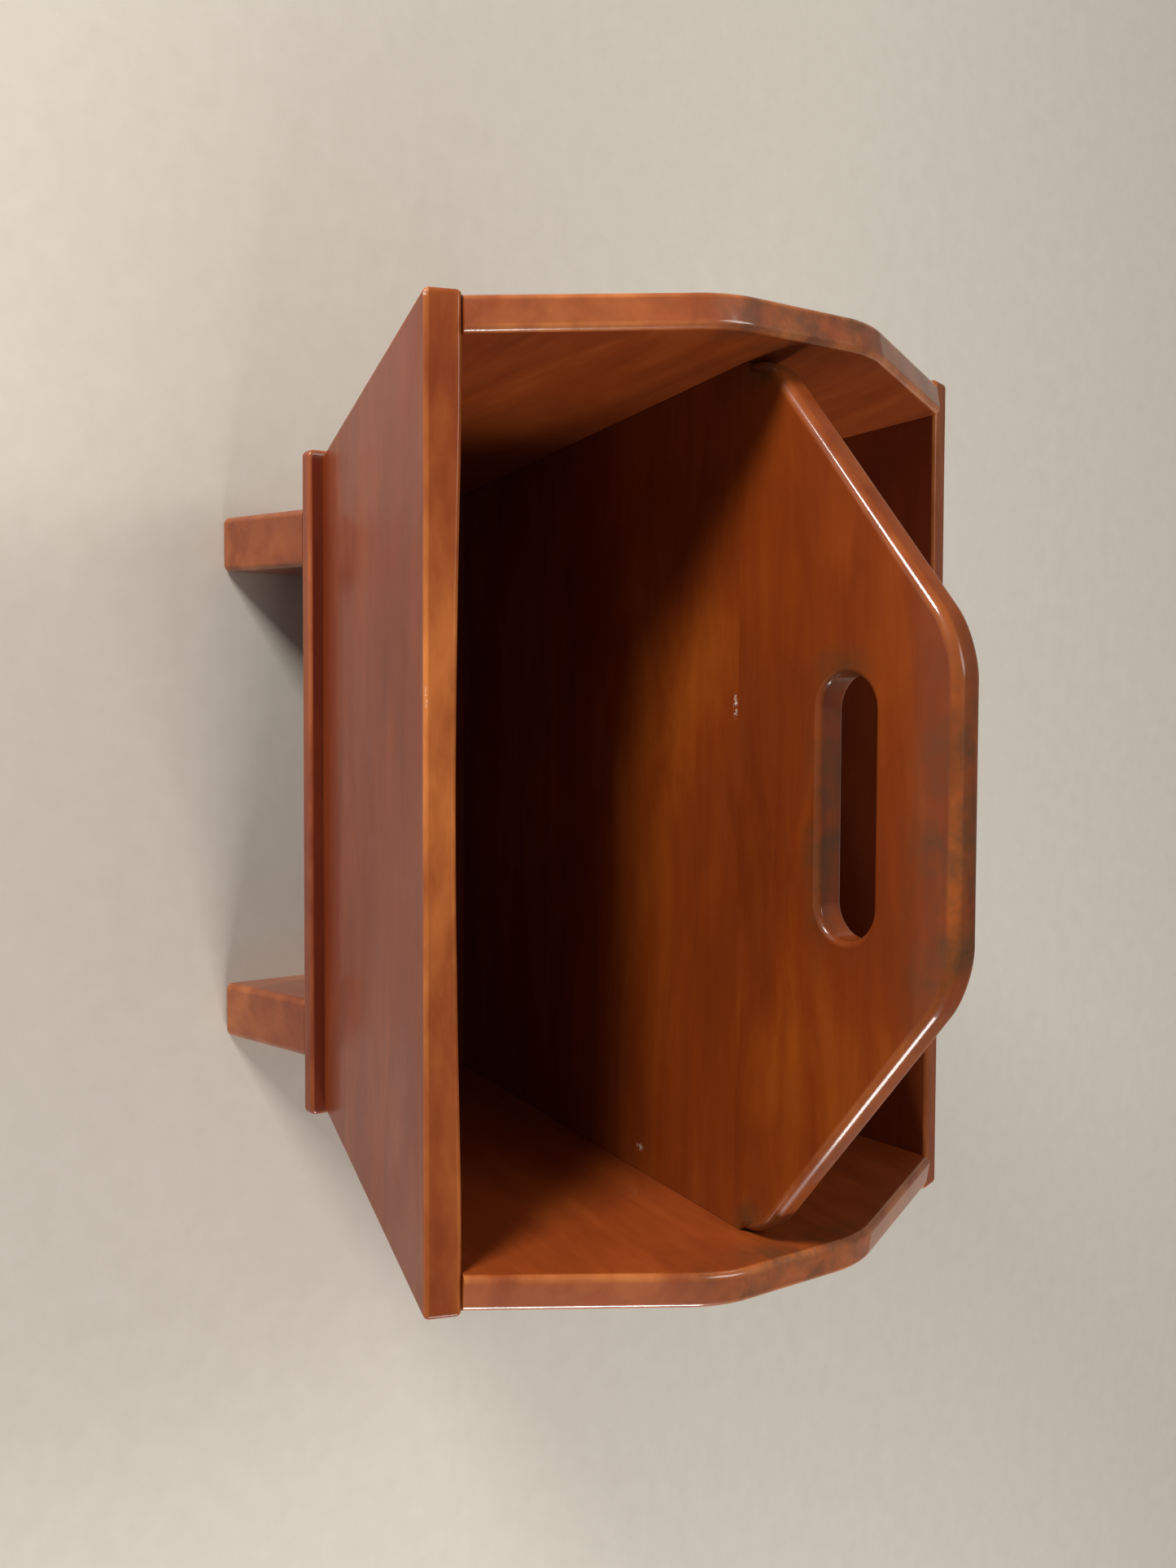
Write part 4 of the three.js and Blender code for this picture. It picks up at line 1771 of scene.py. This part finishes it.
@dataclass
class Studio:
    """Pale floor, soft lights and the camera.

    Attributes:
        camera_place: Where the camera stands.
        heading: Turn of the camera's view away from +Y, towards +X.
        tilt: How far it looks down.
        roll: Small turn about its own view.
        sensor: Height of its sensor in millimetres.
        lens: Focal length in millimetres.
        ground_half: Half the floor's side.
        ground_tones: The two tones of the floor.
        ground_mottle: How the tones are spread.
        glow: Colour of the ambient glow.
        glow_strength: Strength of the ambient glow.
        lamps: The lights.
    """

    camera_place: Triple = (-45.6 * MM, -567.2 * MM, 909.4 * MM)
    heading: float = math.radians(4.31)
    tilt: float = math.radians(50.42)
    roll: float = math.radians(3.56)
    sensor: float = 24.0
    lens: float = 26.1546
    ground_half: float = 6.0
    ground_tones: tuple[Triple, Triple] = ((0.59, 0.55, 0.48), (0.62, 0.58, 0.51))
    ground_mottle: Pattern = Pattern((60, 60, 60), 4, 0.6, low=0.3, high=0.7)
    glow: Triple = (1.0, 0.97, 0.94)
    glow_strength: float = 0.2
    lamps: tuple[SoftLight, ...] = (
        SoftLight("low_window_left", (-1.45, -1.26, 0.69), (0.5, 0.4), 46.0, (1.0, 0.97, 0.93)),
        SoftLight("wide_window_right", (2.0, -0.05, 0.95), (0.9, 0.34), 34.0, (1.0, 0.98, 0.96)),
        SoftLight("soft_light_overhead", (-0.7, 0.8, 2.3), (0.9, 0.7), 16.0, (1.0, 0.97, 0.93)),
    )

    def lay_floor(self) -> None:
        """Lays the pale floor."""
        mesh = bmesh.new()
        bmesh.ops.create_grid(mesh, x_segments=1, y_segments=1, size=self.ground_half)
        ground = to_object("studio_floor", mesh, even=False)
        bench = Bench("pale_floor")
        mottle = bench.drawn(bench.place(), self.ground_mottle)
        limits = (self.ground_mottle.low, self.ground_mottle.high)
        bench.paint("Base Color", bench.ramp(mottle, zip(limits, self.ground_tones)))
        bench.paint("Roughness", 0.9)
        ground.data.materials.append(bench.material)

    def hang_lights(self) -> None:
        """Hangs the lights and sets the ambient glow."""
        for lamp in self.lamps:
            lamp.hang()
        world = bpy.data.worlds.new("soft_room")
        world.use_nodes = True
        backdrop = world.node_tree.nodes["Background"]
        backdrop.inputs["Color"].default_value = (*self.glow, 1)
        backdrop.inputs["Strength"].default_value = self.glow_strength
        bpy.context.scene.world = world

    def set_camera(self) -> None:
        """Sets up the camera, turned on its side so that the rack's top points right."""
        lens = bpy.data.cameras.new("camera")
        lens.sensor_fit = "VERTICAL"
        lens.sensor_height = self.sensor
        lens.lens = self.lens
        lens.clip_start = 10 * MM
        eye = bpy.data.objects.new("camera", lens)
        bpy.context.scene.collection.objects.link(eye)
        ahead = Vector((math.sin(self.heading) * math.cos(self.tilt),
                        math.cos(self.heading) * math.cos(self.tilt), -math.sin(self.tilt)))
        level = Vector((math.cos(self.heading), -math.sin(self.heading), 0))
        rise = level.cross(ahead)
        right = level * math.cos(self.roll) + rise * math.sin(self.roll)
        up = rise * math.cos(self.roll) - level * math.sin(self.roll)
        turn = Matrix((up, -right, -ahead)).transposed().to_4x4()
        eye.matrix_world = Matrix.Translation(self.camera_place) @ turn
        bpy.context.scene.camera = eye

    def build(self) -> None:
        """Sets up the whole studio."""
        self.lay_floor()
        self.hang_lights()
        self.set_camera()
        bpy.context.scene.view_settings.view_transform = "Standard"


# ------------------------------------------------------------------ assembly


def main() -> None:
    """Builds, dresses and reports every piece in order."""
    logging.basicConfig(level=logging.INFO, format="%(message)s")
    sizes = RackSizes()
    boards: list[Board] = [
        LongPanel(sizes, Wall.FRONT), LongPanel(sizes, Wall.BACK),
        EndPanel(sizes, Wall.LEFT), EndPanel(sizes, Wall.RIGHT),
        CenterDivider(sizes), FloorBoard(sizes), BasePlate(sizes),
        Foot(sizes, Side.LEFT), Foot(sizes, Side.RIGHT),
    ]
    for board in boards:
        board.dress(board.build())
    steel = SteelFinish().make()
    for corner in Corner:
        screw = BaseScrew(corner)
        screw.dress(screw.build(), steel)
    HiddenHardware().dress(steel)
    Studio().build()


if __name__ == "__main__":
    main()
